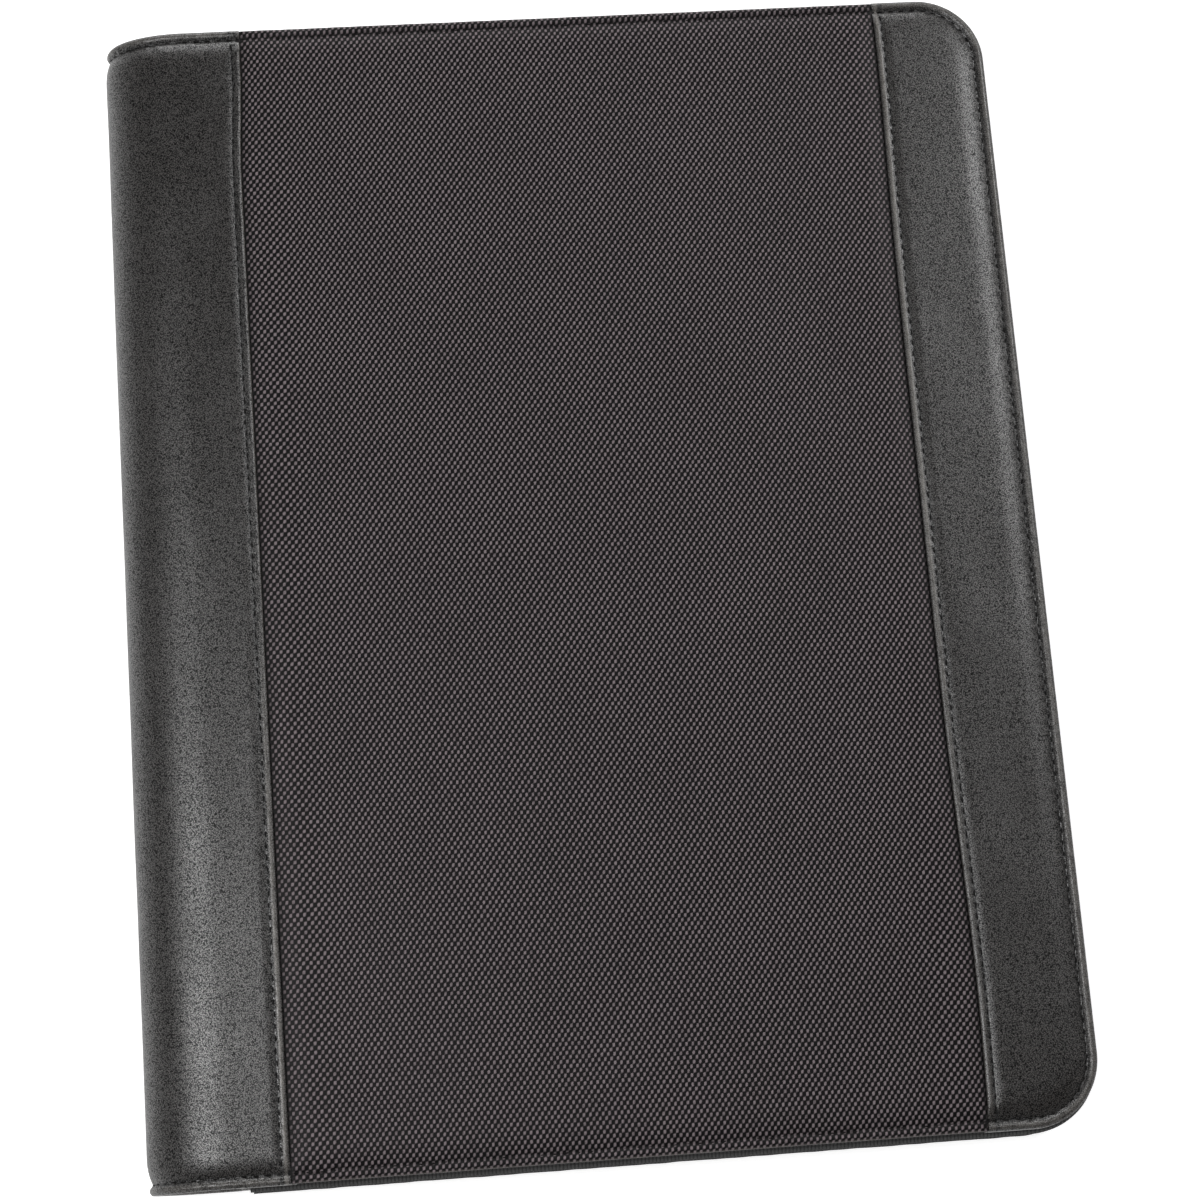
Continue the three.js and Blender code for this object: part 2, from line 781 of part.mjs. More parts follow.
// Arch over the outer plate that the pull tab hangs in
function sliderBridge() {
  const half = BRIDGE_LENGTH / 2;
  const foot = plateTop + FIT;
  const top = bridgeInside + BRIDGE_WIRE;
  const arch = new THREE.Shape([
    new THREE.Vector2(-half, foot),
    new THREE.Vector2(-half + BRIDGE_WIRE, foot),
    new THREE.Vector2(-half + BRIDGE_WIRE, bridgeInside - BRIDGE_WIRE / 2),
    new THREE.Vector2(-half + 1.5 * BRIDGE_WIRE, bridgeInside),
    new THREE.Vector2(half - 1.5 * BRIDGE_WIRE, bridgeInside),
    new THREE.Vector2(half - BRIDGE_WIRE, bridgeInside - BRIDGE_WIRE / 2),
    new THREE.Vector2(half - BRIDGE_WIRE, foot),
    new THREE.Vector2(half, foot),
    new THREE.Vector2(half, top - BRIDGE_WIRE),
    new THREE.Vector2(half - BRIDGE_WIRE, top),
    new THREE.Vector2(-half + BRIDGE_WIRE, top),
    new THREE.Vector2(-half, top - BRIDGE_WIRE),
  ]);
  return extruded(arch, -BRIDGE_WIDTH / 2, BRIDGE_WIDTH / 2).rotateX(Math.PI / 2);
}

// Flat tab with a slot round the bridge; it turns about the bar at the end of the slot
function pullTab() {
  const bar = PULL_EYE / 2;
  const half = PULL_WIDTH / 2;
  const waist = half * PULL_WAIST;
  const eyeEnd = BRIDGE_LENGTH / 2 + BRIDGE_WIRE;
  const outline = new THREE.Shape();
  outline.moveTo(-bar, -half + bar);
  outline.lineTo(0, -half);
  outline.lineTo(eyeEnd, -half);
  outline.quadraticCurveTo(eyeEnd + half, -half, eyeEnd + half, -waist);
  outline.lineTo(PULL_LENGTH - half, -half);
  outline.absarc(PULL_LENGTH - half, 0, half, -Math.PI / 2, Math.PI / 2, false);
  outline.lineTo(eyeEnd + half, waist);
  outline.quadraticCurveTo(eyeEnd + half, half, eyeEnd, half);
  outline.lineTo(0, half);
  outline.lineTo(-bar, half - bar);
  const slot = BRIDGE_WIDTH / 2 + SLIDER_CLEARANCE;
  outline.holes.push(
    new THREE.Path([
      new THREE.Vector2(bar, -slot),
      new THREE.Vector2(bar, slot),
      new THREE.Vector2(eyeEnd, slot),
      new THREE.Vector2(eyeEnd, -slot),
    ]),
  );
  return extruded(outline, -PULL_THICKNESS / 2, PULL_THICKNESS / 2);
}

function zipSlider() {
  const group = new THREE.Group();
  group.position.set(zipStart + sliderFrom + SLIDER_LENGTH / 2, headEdge - ZIP_INSET, midHeight);
  group.rotation.x = -Math.PI / 2;
  group.add(piece("slider_body", sliderBody(), "metal"));
  group.add(piece("slider_bridge", sliderBridge(), "metal"));
  const tab = piece("pull_tab", pullTab(), "metal");
  tab.position.z = pullAxis;
  group.add(tab);
  return group;
}

// Inside the front cover

const insideMargin = HEM_WIDTH + POCKET_MARGIN + LINING + borderLiningTop - liningTop;
const insideTail = -headEdge + insideMargin;
const insideFore = foreEdge - insideMargin;
const insideSpine = boardSpineEdge + POCKET_MARGIN;

// A flat pocket on the lining of the front cover, in a layer counted from the lining
function pocket(shape, layer) {
  const top = liningBottom + FIT + layer * (POCKET_CLOTH + FIT);
  return extruded(shape, heightAt(top + POCKET_CLOTH), heightAt(top));
}

function documentPocket() {
  const mouth = insideTail + DOCUMENT_POCKET_LENGTH;
  const shape = new THREE.Shape();
  shape.moveTo(insideSpine, insideTail);
  shape.lineTo(insideFore - POCKET_ROUND, insideTail);
  const roundFoot = insideTail + POCKET_ROUND;
  shape.absarc(insideFore - POCKET_ROUND, roundFoot, POCKET_ROUND, -Math.PI / 2, 0, false);
  shape.lineTo(insideFore, mouth - DOCUMENT_POCKET_SLANT);
  shape.lineTo(insideSpine, mouth);
  return pocket(shape, 0);
}

// Card pockets in steps: the tallest lies on the lining and each next one is lower
function cardPocket(index) {
  const foot = insideTail + DOCUMENT_POCKET_LENGTH + POCKET_MARGIN;
  const right = insideFore - POCKET_MARGIN;
  const left = right - CARD_POCKET_WIDTH;
  const mouth = foot + CARD_POCKET_HEIGHT + (CARD_POCKETS - 1 - index) * CARD_POCKET_STEP;
  const thumb = CARD_POCKET_WIDTH * THUMB_SHARE;
  const centre = (left + right) / 2;
  const shape = new THREE.Shape();
  shape.moveTo(left, foot);
  shape.lineTo(right, foot);
  shape.lineTo(right, mouth);
  shape.lineTo(centre + thumb, mouth);
  shape.quadraticCurveTo(centre, mouth - 2 * THUMB_DEPTH, centre - thumb, mouth);
  shape.lineTo(left, mouth);
  return pocket(shape, index);
}

// Elastic loop beside the spine, sewn to the lining by its tab
function penLoop() {
  const outer = PEN_LOOP_DIAMETER / 2;
  const inner = outer - PEN_LOOP_ELASTIC;
  const meet = Math.acos(inner / outer);
  const shape = new THREE.Shape();
  shape.moveTo(0, outer);
  shape.lineTo(outer + PEN_LOOP_TAB, outer);
  shape.lineTo(outer + PEN_LOOP_TAB, inner);
  shape.absarc(0, 0, outer, Math.PI / 2 - meet, -1.5 * Math.PI, true);
  shape.holes.push(new THREE.Path().absarc(0, 0, inner, 0, 2 * Math.PI, false));
  const loop = extruded(shape, 0, PEN_LOOP_LENGTH, LOOP_STEPS).rotateX(Math.PI / 2);
  const top = heightAt(liningBottom + FIT);
  const head = headEdge - PEN_LOOP_HEAD_MARGIN;
  return loop.translate(boardSpineEdge + outer, head, top - outer);
}

// Inside the back cover, lowest layer first

const padFore = foreEdge - PAD_FORE_MARGIN;
const padSpine = -foreEdge + PAD_SPINE_MARGIN;
const padHead = headEdge - PAD_END_MARGIN;
const backingLow = liningBottom + FIT;
const backingHigh = backingLow + PAD_BACKING;
const pocketLow = backingHigh + FIT;
const pocketHigh = pocketLow + POCKET_CLOTH;
const sheetsLow = pocketHigh + FIT;
const sheetsHigh = sheetsLow + PAD_SHEETS;

function padPocket() {
  const rim = PAD_POCKET_RIM + POCKET_CLOTH;
  const tail = -padHead - rim;
  const outer = box(padSpine - rim, padFore + rim, tail, tail + PAD_POCKET_LENGTH, backingLow, pocketHigh);
  const inner = box(
    padSpine - POCKET_CLOTH,
    padFore + POCKET_CLOTH,
    -padHead - POCKET_CLOTH,
    headEdge,
    backingLow - FIT,
    pocketLow,
  );
  return bodyOf(solid(outer).subtract(solid(inner)));
}

function padBinding() {
  const end = padHead + FIT;
  const top = sheetsHigh + FIT;
  const wall = box(padSpine, padFore, end, end + PAD_BINDING, backingLow, top + PAD_BINDING);
  const legFoot = padHead - PAD_BINDING_WIDTH;
  const leg = box(padSpine, padFore, legFoot, end + PAD_BINDING, top, top + PAD_BINDING);
  return bodyOf(solid(wall).add(solid(leg)));
}

function writingPad() {
  const group = new THREE.Group();
  const page = (low, high) => box(padSpine, padFore, -padHead, padHead, low, high);
  group.add(piece("pad_pocket", padPocket(), "lining"));
  group.add(piece("pad_backing_board", page(backingLow, backingHigh), "card"));
  group.add(piece("pad_sheets", page(sheetsLow, sheetsHigh), "paper"));
  group.add(piece("pad_binding", padBinding(), "binding"));
  return group;
}

// Assembly

// The pieces of one cover, in the place of the front cover
function cover(name) {
  const group = new THREE.Group();
  group.add(piece(`${name}_nylon_panel`, nylonPanel(), "nylon"));
  group.add(piece(`${name}_edge_strip`, edgeStrip(), "leatherette"));
  group.add(piece(`${name}_spine_strip`, spineStrip(), "leatherette"));
  group.add(piece(`${name}_padding`, coverPadding(), "foam"));
  group.add(piece(`${name}_board`, coverBoard(), "board"));
  group.add(piece(`${name}_lining`, coverLining(), "lining"));
  group.add(piece(`${name}_hinge_lining`, coverHingeLining(), "lining"));
  group.add(piece(`${name}_zip_tape`, zipTape(), "tape"));
  return group;
}

const folder = new THREE.Group();

const frontCover = cover("front");
frontCover.add(zipHalf("front", 1));
frontCover.add(piece("document_pocket", documentPocket(), "lining"));
for (let i = 0; i < CARD_POCKETS; i++) {
  frontCover.add(piece(`card_pocket_${i + 1}`, cardPocket(i), "lining"));
}
frontCover.add(piece("pen_loop", penLoop(), "elastic"));
folder.add(frontCover);

// The back cover is the front one turned over about the middle of the folder
const backCover = cover("back");
backCover.rotation.x = Math.PI;
backCover.position.z = THICKNESS;
folder.add(backCover);
folder.add(zipHalf("back", -1));
folder.add(writingPad());

for (const [index, name] of ["spine_upper", "spine_middle", "spine_lower"].entries()) {
  folder.add(spineSlice(name, index));
}
folder.add(zipSlider());

export default folder;
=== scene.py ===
from itertools import zip_longest
from math import ceil, cos, pi, radians, sin

import bpy
import numpy as np
from mathutils import Matrix, Vector


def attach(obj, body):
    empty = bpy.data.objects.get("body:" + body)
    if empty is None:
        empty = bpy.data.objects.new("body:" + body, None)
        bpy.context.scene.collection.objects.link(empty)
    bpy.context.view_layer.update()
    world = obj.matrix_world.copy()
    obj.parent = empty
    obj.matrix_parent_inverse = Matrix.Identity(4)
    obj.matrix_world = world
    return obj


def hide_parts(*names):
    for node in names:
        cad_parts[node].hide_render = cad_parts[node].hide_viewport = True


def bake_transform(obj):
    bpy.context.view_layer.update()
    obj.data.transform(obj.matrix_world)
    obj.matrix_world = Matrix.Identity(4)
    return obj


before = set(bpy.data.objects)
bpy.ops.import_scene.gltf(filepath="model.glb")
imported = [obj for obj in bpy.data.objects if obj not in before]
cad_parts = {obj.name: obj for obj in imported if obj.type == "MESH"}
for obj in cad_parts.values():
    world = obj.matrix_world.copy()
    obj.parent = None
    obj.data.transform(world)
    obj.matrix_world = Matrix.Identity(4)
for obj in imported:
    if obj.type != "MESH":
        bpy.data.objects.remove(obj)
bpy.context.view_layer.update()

# Sizes of the part, in millimetres
WIDTH = 270
LENGTH = 345
THICKNESS = 30
CORNER_RADIUS = 20
SPINE_BULGE = 24
EDGE_STRIP_WIDTH = 34
SPINE_STRIP_WIDTH = 42
HEM_WIDTH = 14
STITCH_INSET = 2.9
GROOVE_DEPTH = 0.75
LEATHER_GROOVE = 1.6
NYLON_GROOVE = 1.15
BEAD_RISE = 0.7
EDGE_ROUND = 0.45
PUFF_WIDTH = 8
FOLD_WIDTH = 2.4
FOLD_GROOVE = 0.5
FOLD_BEAD = 0.4
FOLD_PUFF = 3.5
NYLON_DIP = 1.25
NYLON_PUFF = 7
HEM_DEPTH = 6.1
CURVE_HEM_DEPTH = 3.1
ZIP_INSET = 3
ZIP_START = 5

# Depths of the inner layers below a cover's outer face
BORDER_LINING = 7.6
LINING = 5.9
SPINE_LINING = 3.8

HEAD = LENGTH / 2
FORE = WIDTH / 2
SPINE_SEAM = -FORE + SPINE_STRIP_WIDTH
FORE_SEAM = FORE - EDGE_STRIP_WIDTH
CURVE_START = -FORE + SPINE_BULGE
MID = THICKNESS / 2
FLAT_RUN = SPINE_SEAM - CURVE_START
CORNER_X = FORE - CORNER_RADIUS
CORNER_Y = HEAD - CORNER_RADIUS

# Stitches
STITCH_PITCH = 3.4
STITCH_LENGTH = 2.1
THREAD = 0.22

MM = 0.001
rng = np.random.default_rng(7)


# Meshes


def new_object(name, data):
    obj = bpy.data.objects.new(name, data)
    bpy.context.scene.collection.objects.link(obj)
    return obj


def build(name, points, faces, uv=None, flip=False, tone=None):
    """A mesh object from points in millimetres, with a uv pair and a seam tone for each point.
    The tone is below 0 for shade painted into a groove and above 0 for a highlight painted on a bead or
    turned edge, with some real rubbing on the leatherette's beads."""
    faces = [list(f)[::-1] if flip else list(f) for f in faces]
    mesh = bpy.data.meshes.new(name)
    mesh.from_pydata((np.asarray(points, float) * MM).tolist(), [], faces)
    mesh.polygons.foreach_set("use_smooth", np.ones(len(mesh.polygons), bool))
    if uv is not None:
        layer = mesh.uv_layers.new(name="UVMap")
        corner = np.empty(len(mesh.loops), np.int32)
        mesh.loops.foreach_get("vertex_index", corner)
        layer.data.foreach_set("uv", np.asarray(uv, float)[corner].ravel())
    if tone is not None:
        data = mesh.attributes.new("seam_tone", "FLOAT", "POINT").data
        data.foreach_set("value", np.ravel(tone).astype(np.float32))
    mesh.update()
    return new_object(name, mesh)


def grid_faces(rows, cols, start=0):
    a = (np.arange(rows - 1)[:, None] * cols + np.arange(cols - 1)[None, :] + start).reshape(-1, 1)
    return np.concatenate([a, a + 1, a + cols + 1, a + cols], 1)


def grid_object(name, points, uv, flip=False, tone=None):
    faces = grid_faces(*points.shape[:2]).tolist()
    return build(name, points.reshape(-1, 3), faces, uv.reshape(-1, 2), flip, tone)


def put(obj, body, slot, look, nodes=()):
    """The piece rides on a body, takes a material and stands for CAD nodes."""
    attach(obj, body)
    dress(obj, slot, look, nodes)


def dress(obj, slot, look, nodes):
    obj.data.materials.append(LOOKS[look])
    if nodes:
        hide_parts(*nodes)


def smoothstep(x, low, high):
    t = np.clip((x - low) / (high - low), 0, 1)
    return t * t * (3 - 2 * t)


def bump_at(x, centre, width):
    return np.exp(-(((x - centre) / width) ** 2))


def distances(line):
    """Distance along a line of each of its points."""
    return np.concatenate([[0], np.cumsum(np.linalg.norm(np.diff(line, axis=0), axis=1))])


def side_direction(path, axis):
    """Direction square to a path of pairs."""
    run = np.gradient(path, axis=axis)
    run /= np.linalg.norm(run, axis=-1, keepdims=True)
    return np.stack([-run[..., 1], run[..., 0]], -1)


# Profiles of the padded face, as depths below its plane, and its unevenness

SEAM_WAVES = (3.7, 5.3, 7.9, 12.1, 19)
SLOW_WAVES = (34, 47, 61, 83, 120)
FOLD_PUCKER = {"reach": 1.2, "holes": 0.06, "creases": 0.03}
NYLON_SWELL = 0.28
STRIP_SWELL = 0.12


def edge_depth(d, groove=LEATHER_GROOVE):
    t = np.clip(d / STITCH_INSET, 0, 1)
    base = GROOVE_DEPTH + (groove - GROOVE_DEPTH) * t
    bead = base - BEAD_RISE * np.sin(pi * t) + EDGE_ROUND * (1 - t) ** 4
    u = np.clip((d - STITCH_INSET) / PUFF_WIDTH, 0, 1)
    return np.where(d <= STITCH_INSET, bead, groove * (1 - u) ** 2.6)


def fold_depth(g):
    bead = FOLD_GROOVE - FOLD_BEAD * np.sin(pi * np.clip(g / FOLD_WIDTH, 0, 1))
    u = np.clip((g - FOLD_WIDTH) / FOLD_PUFF, 0, 1)
    return np.where(g <= FOLD_WIDTH, bead, FOLD_GROOVE * (1 - u) ** 2.2)


def nylon_depth(g):
    return NYLON_DIP * (1 - np.clip(g / NYLON_PUFF, 0, 1)) ** 2


def wobble(s, seed):
    """Uneven wave along a seam, between about -1 and 1."""
    waves = np.random.default_rng(seed)
    return sum(np.sin(2 * pi * (s / period + waves.random())) for period in SEAM_WAVES) / 3


def pucker(s, across, seed, reach=1.8, holes=0.1, creases=0.09):
    """Dips at a stitch line's needle holes and small creases that run out from it."""
    dips = holes * np.cos(2 * pi * s / STITCH_PITCH) * bump_at(across, 0, 1.5)
    return dips + creases * wobble(s, seed) * np.exp(-np.abs(across) / reach)


def swell(x, y, seed, height):
    """Slow unevenness of the padded face."""
    waves = np.random.default_rng(seed)
    total = 0
    for period in SLOW_WAVES:
        a = waves.random() * 2 * pi
        phase = waves.random() * 2 * pi
        total = total + np.sin(2 * pi * (x * np.cos(a) + y * np.sin(a)) / period + phase)
    return height * total / 3


def border_tone(s, d, seed):
    """Shade painted into the groove beside a turned edge, and a highlight painted on its bead, with some
    real rubbing there.
    """
    uneven = 0.75 + 0.3 * wobble(s, seed)
    return 0.4 * bump_at(d, 1.2, 0.8) * uneven - bump_at(d, STITCH_INSET + 0.1, 0.5) * uneven


def fold_tone(y, g, seed, wear):
    """Fold of the leatherette over the nylon: a highlight painted on its crest and its rim, in shares, with
    some real rubbing on the crest, and shade painted on the crest where the rim takes the highlight and into
    the stitch groove.
    wear is the share of the painted highlight that lies on the crest."""
    uneven = 0.85 + 0.25 * wobble(y, seed)
    highlight_and_rubbing = 0.75 * wear * bump_at(g, 1.15, 0.6) + 0.6 * (1 - wear) * bump_at(g, 0.12, 0.3)
    dark = 0.35 * (1 - wear) * bump_at(g, 1.3, 0.8) + 1.1 * bump_at(g, FOLD_WIDTH + 0.15, 0.42)
    return highlight_and_rubbing * uneven - dark


# Share of the fold's painted highlight that lies on its crest: on the spine seam it grows towards the tail,
# on the fore seam towards the head, where the lamps' reflections fall.
def spine_crest_highlight(y):
    return 0.1 + 0.9 * smoothstep(-y, -60, 120)


def fore_crest_highlight(y):
    return 1 - 0.45 * smoothstep(-y, -20, 90)


# Rows of a panel of skin, from the hem under the tail, over the face, to the hem under the head

FACE_STEPS = [0, 0.1, 0.25, 0.45, 0.7, 1.0, 1.35, 1.7, 2.05, 2.35, 2.6, 2.8, 3.0, 3.2, 3.4, 3.65, 4.0]
FACE_STEPS += [4.5, 5.2, 6.0, 7.0, 8.2, 9.6, 11.2]
# Distance in from the edge and lift of the hem's rounded underside
UNDER_STEPS = [(HEM_WIDTH, 0), (9, 0), (5, 0), (2.4, 0), (1.1, 0), (0.5, 0.08), (0.16, 0.32), (0, 0.8)]
WALL_SHARES = [0.75, 0.5, 0.25]
WALL_BULGE = 0.1
WALL_RUN = 4
# A highlight is painted along the turned edge
RIM_PAINTED_HIGHLIGHT = 0.25


def face_places(step):
    """Places from the tail edge to the head edge of a face, finer near both."""
    tail = np.array(FACE_STEPS[:-1] + list(np.arange(FACE_STEPS[-1], HEAD, step)))
    y = -HEAD + tail[tail < HEAD - step / 2]
    return np.concatenate([y, [0.0], -y[::-1]])


def rim_rows(low, face):
    """Rows of a turned edge, under the hem and up its wall: distance in, depth and place on the texture."""
    wall = low - UNDER_STEPS[-1][1]
    rows = [(d, low - lift, WALL_RUN + d) for d, lift in UNDER_STEPS]
    for q in WALL_SHARES:
        rows.append((-WALL_BULGE * sin(pi * q), face + (wall - face) * q, WALL_RUN * q))
    return rows


def sunk(section, depth, y):
    """Points at a depth below the places of a cross-section."""
    x, z, nx, nz = section
    return np.stack([x + nx * depth, y + 0 * x, z + nz * depth], -1)


def skin(xs, section, top, bottom, step, tone):
    """Panel of skin along the stations xs. section(x) gives the point x, z and the direction inward.
    top(x, d, y) is the depth of the face, bottom(x) that of the hem and tone(x, d, y) the seam tone."""
    low, face = bottom(xs), top(xs, 0, -HEAD)
    rows, uvs, tones = [], [], []

    def row(depth, y, v, t):
        rows.append(sunk(section(xs), depth, y))
        uvs.append(np.stack([xs, v + 0 * xs], -1))
        tones.append(t + 0 * xs)

    def rim(side):
        for d, depth, v in rim_rows(low, face)[:: -side]:
            # The rim rows take the painted highlight
            row(depth, side * (HEAD - d), side * (HEAD + v), RIM_PAINTED_HIGHLIGHT)

    rim(-1)
    for y in face_places(step):
        d = HEAD - abs(y)
        row(top(xs, d, y), y, y, tone(xs, d, y))
    rim(1)
    return np.array(rows), np.array(uvs), np.array(tones)


def inward(points, col):
    """Direction into the body, square to the rows, along one column of a panel."""
    line = points[:, col]
    across = points[:, col + 1] - line if col >= 0 else line - points[:, col - 1]
    n = np.cross(np.gradient(line, axis=0), across)
    n /= np.linalg.norm(n, axis=1, keepdims=True) + 1e-9
    return n if n[len(n) // 2, 2] < 0 else -n


# Depth and reach of the turned-in edge of a fold
LIP = [(0.35, -0.12), (0.75, -0.05), (1.05, 0.3), (1.2, 1.2)]


def joined(grid, columns, col):
    """Adds columns outside the first (0) or last (-1) column of a grid."""
    block = np.stack(columns[:: -1 if col == 0 else 1], 1)
    return np.concatenate([block, grid] if col == 0 else [grid, block], 1)


def with_lip(points, uvs, tones, col, side):
    """Adds the turned-in edge of a fold at the first (0) or last (-1) column, to one side in x."""
    n = inward(points, col)
    lip = [points[:, col] + n * down + np.array([side * along, 0, 0]) for down, along in LIP]
    lip_uv = [uvs[:, col] - np.array([down, 0]) for down, _ in LIP]
    # Shade painted on the tucked-under part of the lip
    lip_tone = [tones[:, col] - 0.8 * (i > 0) for i in range(len(LIP))]
    return [joined(*pair, col) for pair in ((points, lip), (uvs, lip_uv), (tones, lip_tone))]


def stations(start, end, fine_at, fine, coarse, reach):
    """Numbers from start to end, finely spaced within reach of fine_at's places."""
    xs = [start]
    while xs[-1] < end:
        near = min(abs(xs[-1] - f) for f in fine_at)
        xs.append(xs[-1] + (fine if near < reach else coarse))
    xs[-1] = end
    return np.array(xs)


def flat(x):
    return x, THICKNESS + 0 * x, 0, -1


# Rounded spine, by the distance along its skin from the front seam

TURNS = np.linspace(0, pi, 4001)


def ellipse(turn):
    u = np.arctan2(SPINE_BULGE * np.sin(turn), MID * np.cos(turn))
    return CURVE_START - SPINE_BULGE * np.sin(u), MID + MID * np.cos(u)


ARC = distances(np.stack(ellipse(TURNS), 1))


def arc_at(turn):
    return FLAT_RUN + np.interp(turn, TURNS, ARC)


def wrapped(s):
    """Cross-section at a distance from the seam, over the flat run and round the spine."""
    turn = np.interp(s - FLAT_RUN, ARC, TURNS)
    x, z = ellipse(turn)
    straight = s < FLAT_RUN
    x = np.where(straight, SPINE_SEAM - s, x)
    z = np.where(straight, THICKNESS, z)
    turn = np.where(straight, 0, turn)
    return x, z, np.sin(turn), -np.cos(turn)


# Wander of the two seams: reach to both sides, heights between which it sets in, and the fore seam's bows as
# drift, place and length
WANDER_REACH = 15
WANDER_HEIGHTS = (26, 27.5)
SPINE_DRIFT = -1.45
SPINE_HEAD_DRIFT = 1.2
FORE_BOWS = [(1.0, 155, 45), (1.5, -130, 50)]


def sewn(points):
    """Lets the two seams of a cover's face wander a little, as sewing by eye does."""
    out = points.copy()
    x, y = points[..., 0], points[..., 1]
    face = smoothstep(points[..., 2], *WANDER_HEIGHTS)
    spine = SPINE_HEAD_DRIFT * smoothstep(y, 125, 160) + SPINE_DRIFT
    fore = sum(drift * bump_at(y, place, length) for drift, place, length in FORE_BOWS)
    for seam, drift in ((SPINE_SEAM, spine), (FORE_SEAM, fore)):
        out[..., 0] += face * drift * (1 - smoothstep(np.abs(x - seam), 0, WANDER_REACH))
    return out


def turned_over(points):
    """The same points for the back cover."""
    return sewn(points) * (1, -1, -1) + (0, 0, THICKNESS)


# Panels of a cover. room is how far the padding may swell above the face's plane.

# The nylon is tucked under the folds and stops a little inside the turned edges
NYLON_TUCK = 0.7
NYLON_INSET = 0.25
# Where the hem steps from the board to the foam
HEM_CHANGE = (FLAT_RUN - 1.9, FLAT_RUN - 1.1)
FINE_GRID = 0.8
COARSE_GRID = 1.6


def nylon_points(seed, step, room):
    seams = (SPINE_SEAM, FORE_SEAM)
    xs = stations(seams[0] - NYLON_TUCK, seams[1] + NYLON_TUCK, seams, 0.6, step, 9)

    def gap(x):
        return np.clip(np.minimum(x - SPINE_SEAM, FORE_SEAM - x), 0, None)

    def top(x, d, y):
        g = gap(x)
        shifted = d + 0.35 * wobble(x / 2, seed + 3) * bump_at(d, STITCH_INSET, 2)
        depth = np.maximum(nylon_depth(g), edge_depth(shifted, NYLON_GROOVE) + 0.15 * np.exp(-d))
        depth = depth + pucker(x, d - STITCH_INSET, seed) + pucker(y, g + FOLD_WIDTH, seed + 1, 3)
        away = smoothstep(d, 4, 30) * smoothstep(g, 3, 30)
        return np.maximum(depth - swell(x, y, seed + 2, NYLON_SWELL) * away, -room)

    def tone(x, d, y):
        uneven = 0.6 + 0.4 * wobble(x, seed)
        # Shade painted into the stitch groove and beside the leatherette's fold, and a highlight painted
        # along the turned edge
        dark = -0.45 * bump_at(d, STITCH_INSET, 0.8) * uneven - 1.3 * np.exp(-gap(x) / 0.7)
        return dark + 0.8 * bump_at(d, 0.1, 0.35)

    points, uvs, tones = skin(xs, flat, top, lambda x: HEM_DEPTH, step, tone)
    points[..., 1] = np.clip(points[..., 1], NYLON_INSET - HEAD, HEAD - NYLON_INSET)
    return points, uvs, tones


def hem_depth(s):
    """Depth of the hem: over the board on the flat, over the foam in the curve."""
    return HEM_DEPTH + (CURVE_HEM_DEPTH - HEM_DEPTH) * smoothstep(s, *HEM_CHANGE)


def strip_face(x, y, d, g, along, seed, room, calm):
    """Depth of a strip's face at d from its turned edge and g from its fold over the nylon.
    calm is the distances from both that the slow unevenness needs to come in."""
    depth = np.maximum(fold_depth(g), edge_depth(d)) + pucker(along, d - STITCH_INSET, seed)
    depth = depth + pucker(y, g - FOLD_WIDTH, seed + 1, **FOLD_PUCKER)
    away = smoothstep(d, 4, calm[0]) * smoothstep(g, 3, calm[1])
    return np.maximum(depth - swell(x, y, seed + 2, STRIP_SWELL) * away, -room)


def spine_top(seed, room):
    return lambda s, d, y: strip_face(s, y, d, s, s, seed, room, (25, 20))


def strip_tone(along, d, y, g, seed, wear):
    return border_tone(along, d, seed) * smoothstep(g, 0, 3) + fold_tone(y, g, seed + 1, wear)


def spine_tone(seed):
    return lambda s, d, y: strip_tone(s, d, y, s, seed, spine_crest_highlight(y))


CORNER_ARC = np.linspace(0, pi / 2, 40)[1:-1]


def outline_ring(left, runs, ys, d):
    """Outline of a cover at d in from its edges, from x = left round tail, fore edge and head."""
    r = max(CORNER_RADIUS - d, 0)
    tail = np.stack([left + runs, d - HEAD + 0 * runs], 1)
    bend = np.stack([CORNER_X + r * np.sin(CORNER_ARC), -CORNER_Y - r * np.cos(CORNER_ARC)], 1)
    side = np.stack([FORE - d + 0 * ys, ys], 1)
    lower = np.concatenate([tail, bend])
    return np.concatenate([lower, side, lower[::-1] * np.array([1, -1])])


def outline_lengths(runs, ys, radius):
    """Distance along such an outline with corners of a given radius."""
    half = np.concatenate([runs, runs[-1] + radius * CORNER_ARC])
    side = runs[-1] + radius * pi / 2 + ys + CORNER_Y
    return np.concatenate([half, side, side[-1] + side[0] - half[::-1]])


def outline_seam(left, d, z):
    """Stitch line at d in from a cover's edges."""
    ring = outline_ring(left, np.array([0, CORNER_X - left]), np.array([-CORNER_Y, CORNER_Y]), d)
    return np.column_stack([ring, np.full(len(ring), z)])


def even(start, end, step):
    return np.linspace(start, end, int(round((end - start) / step)) + 1)


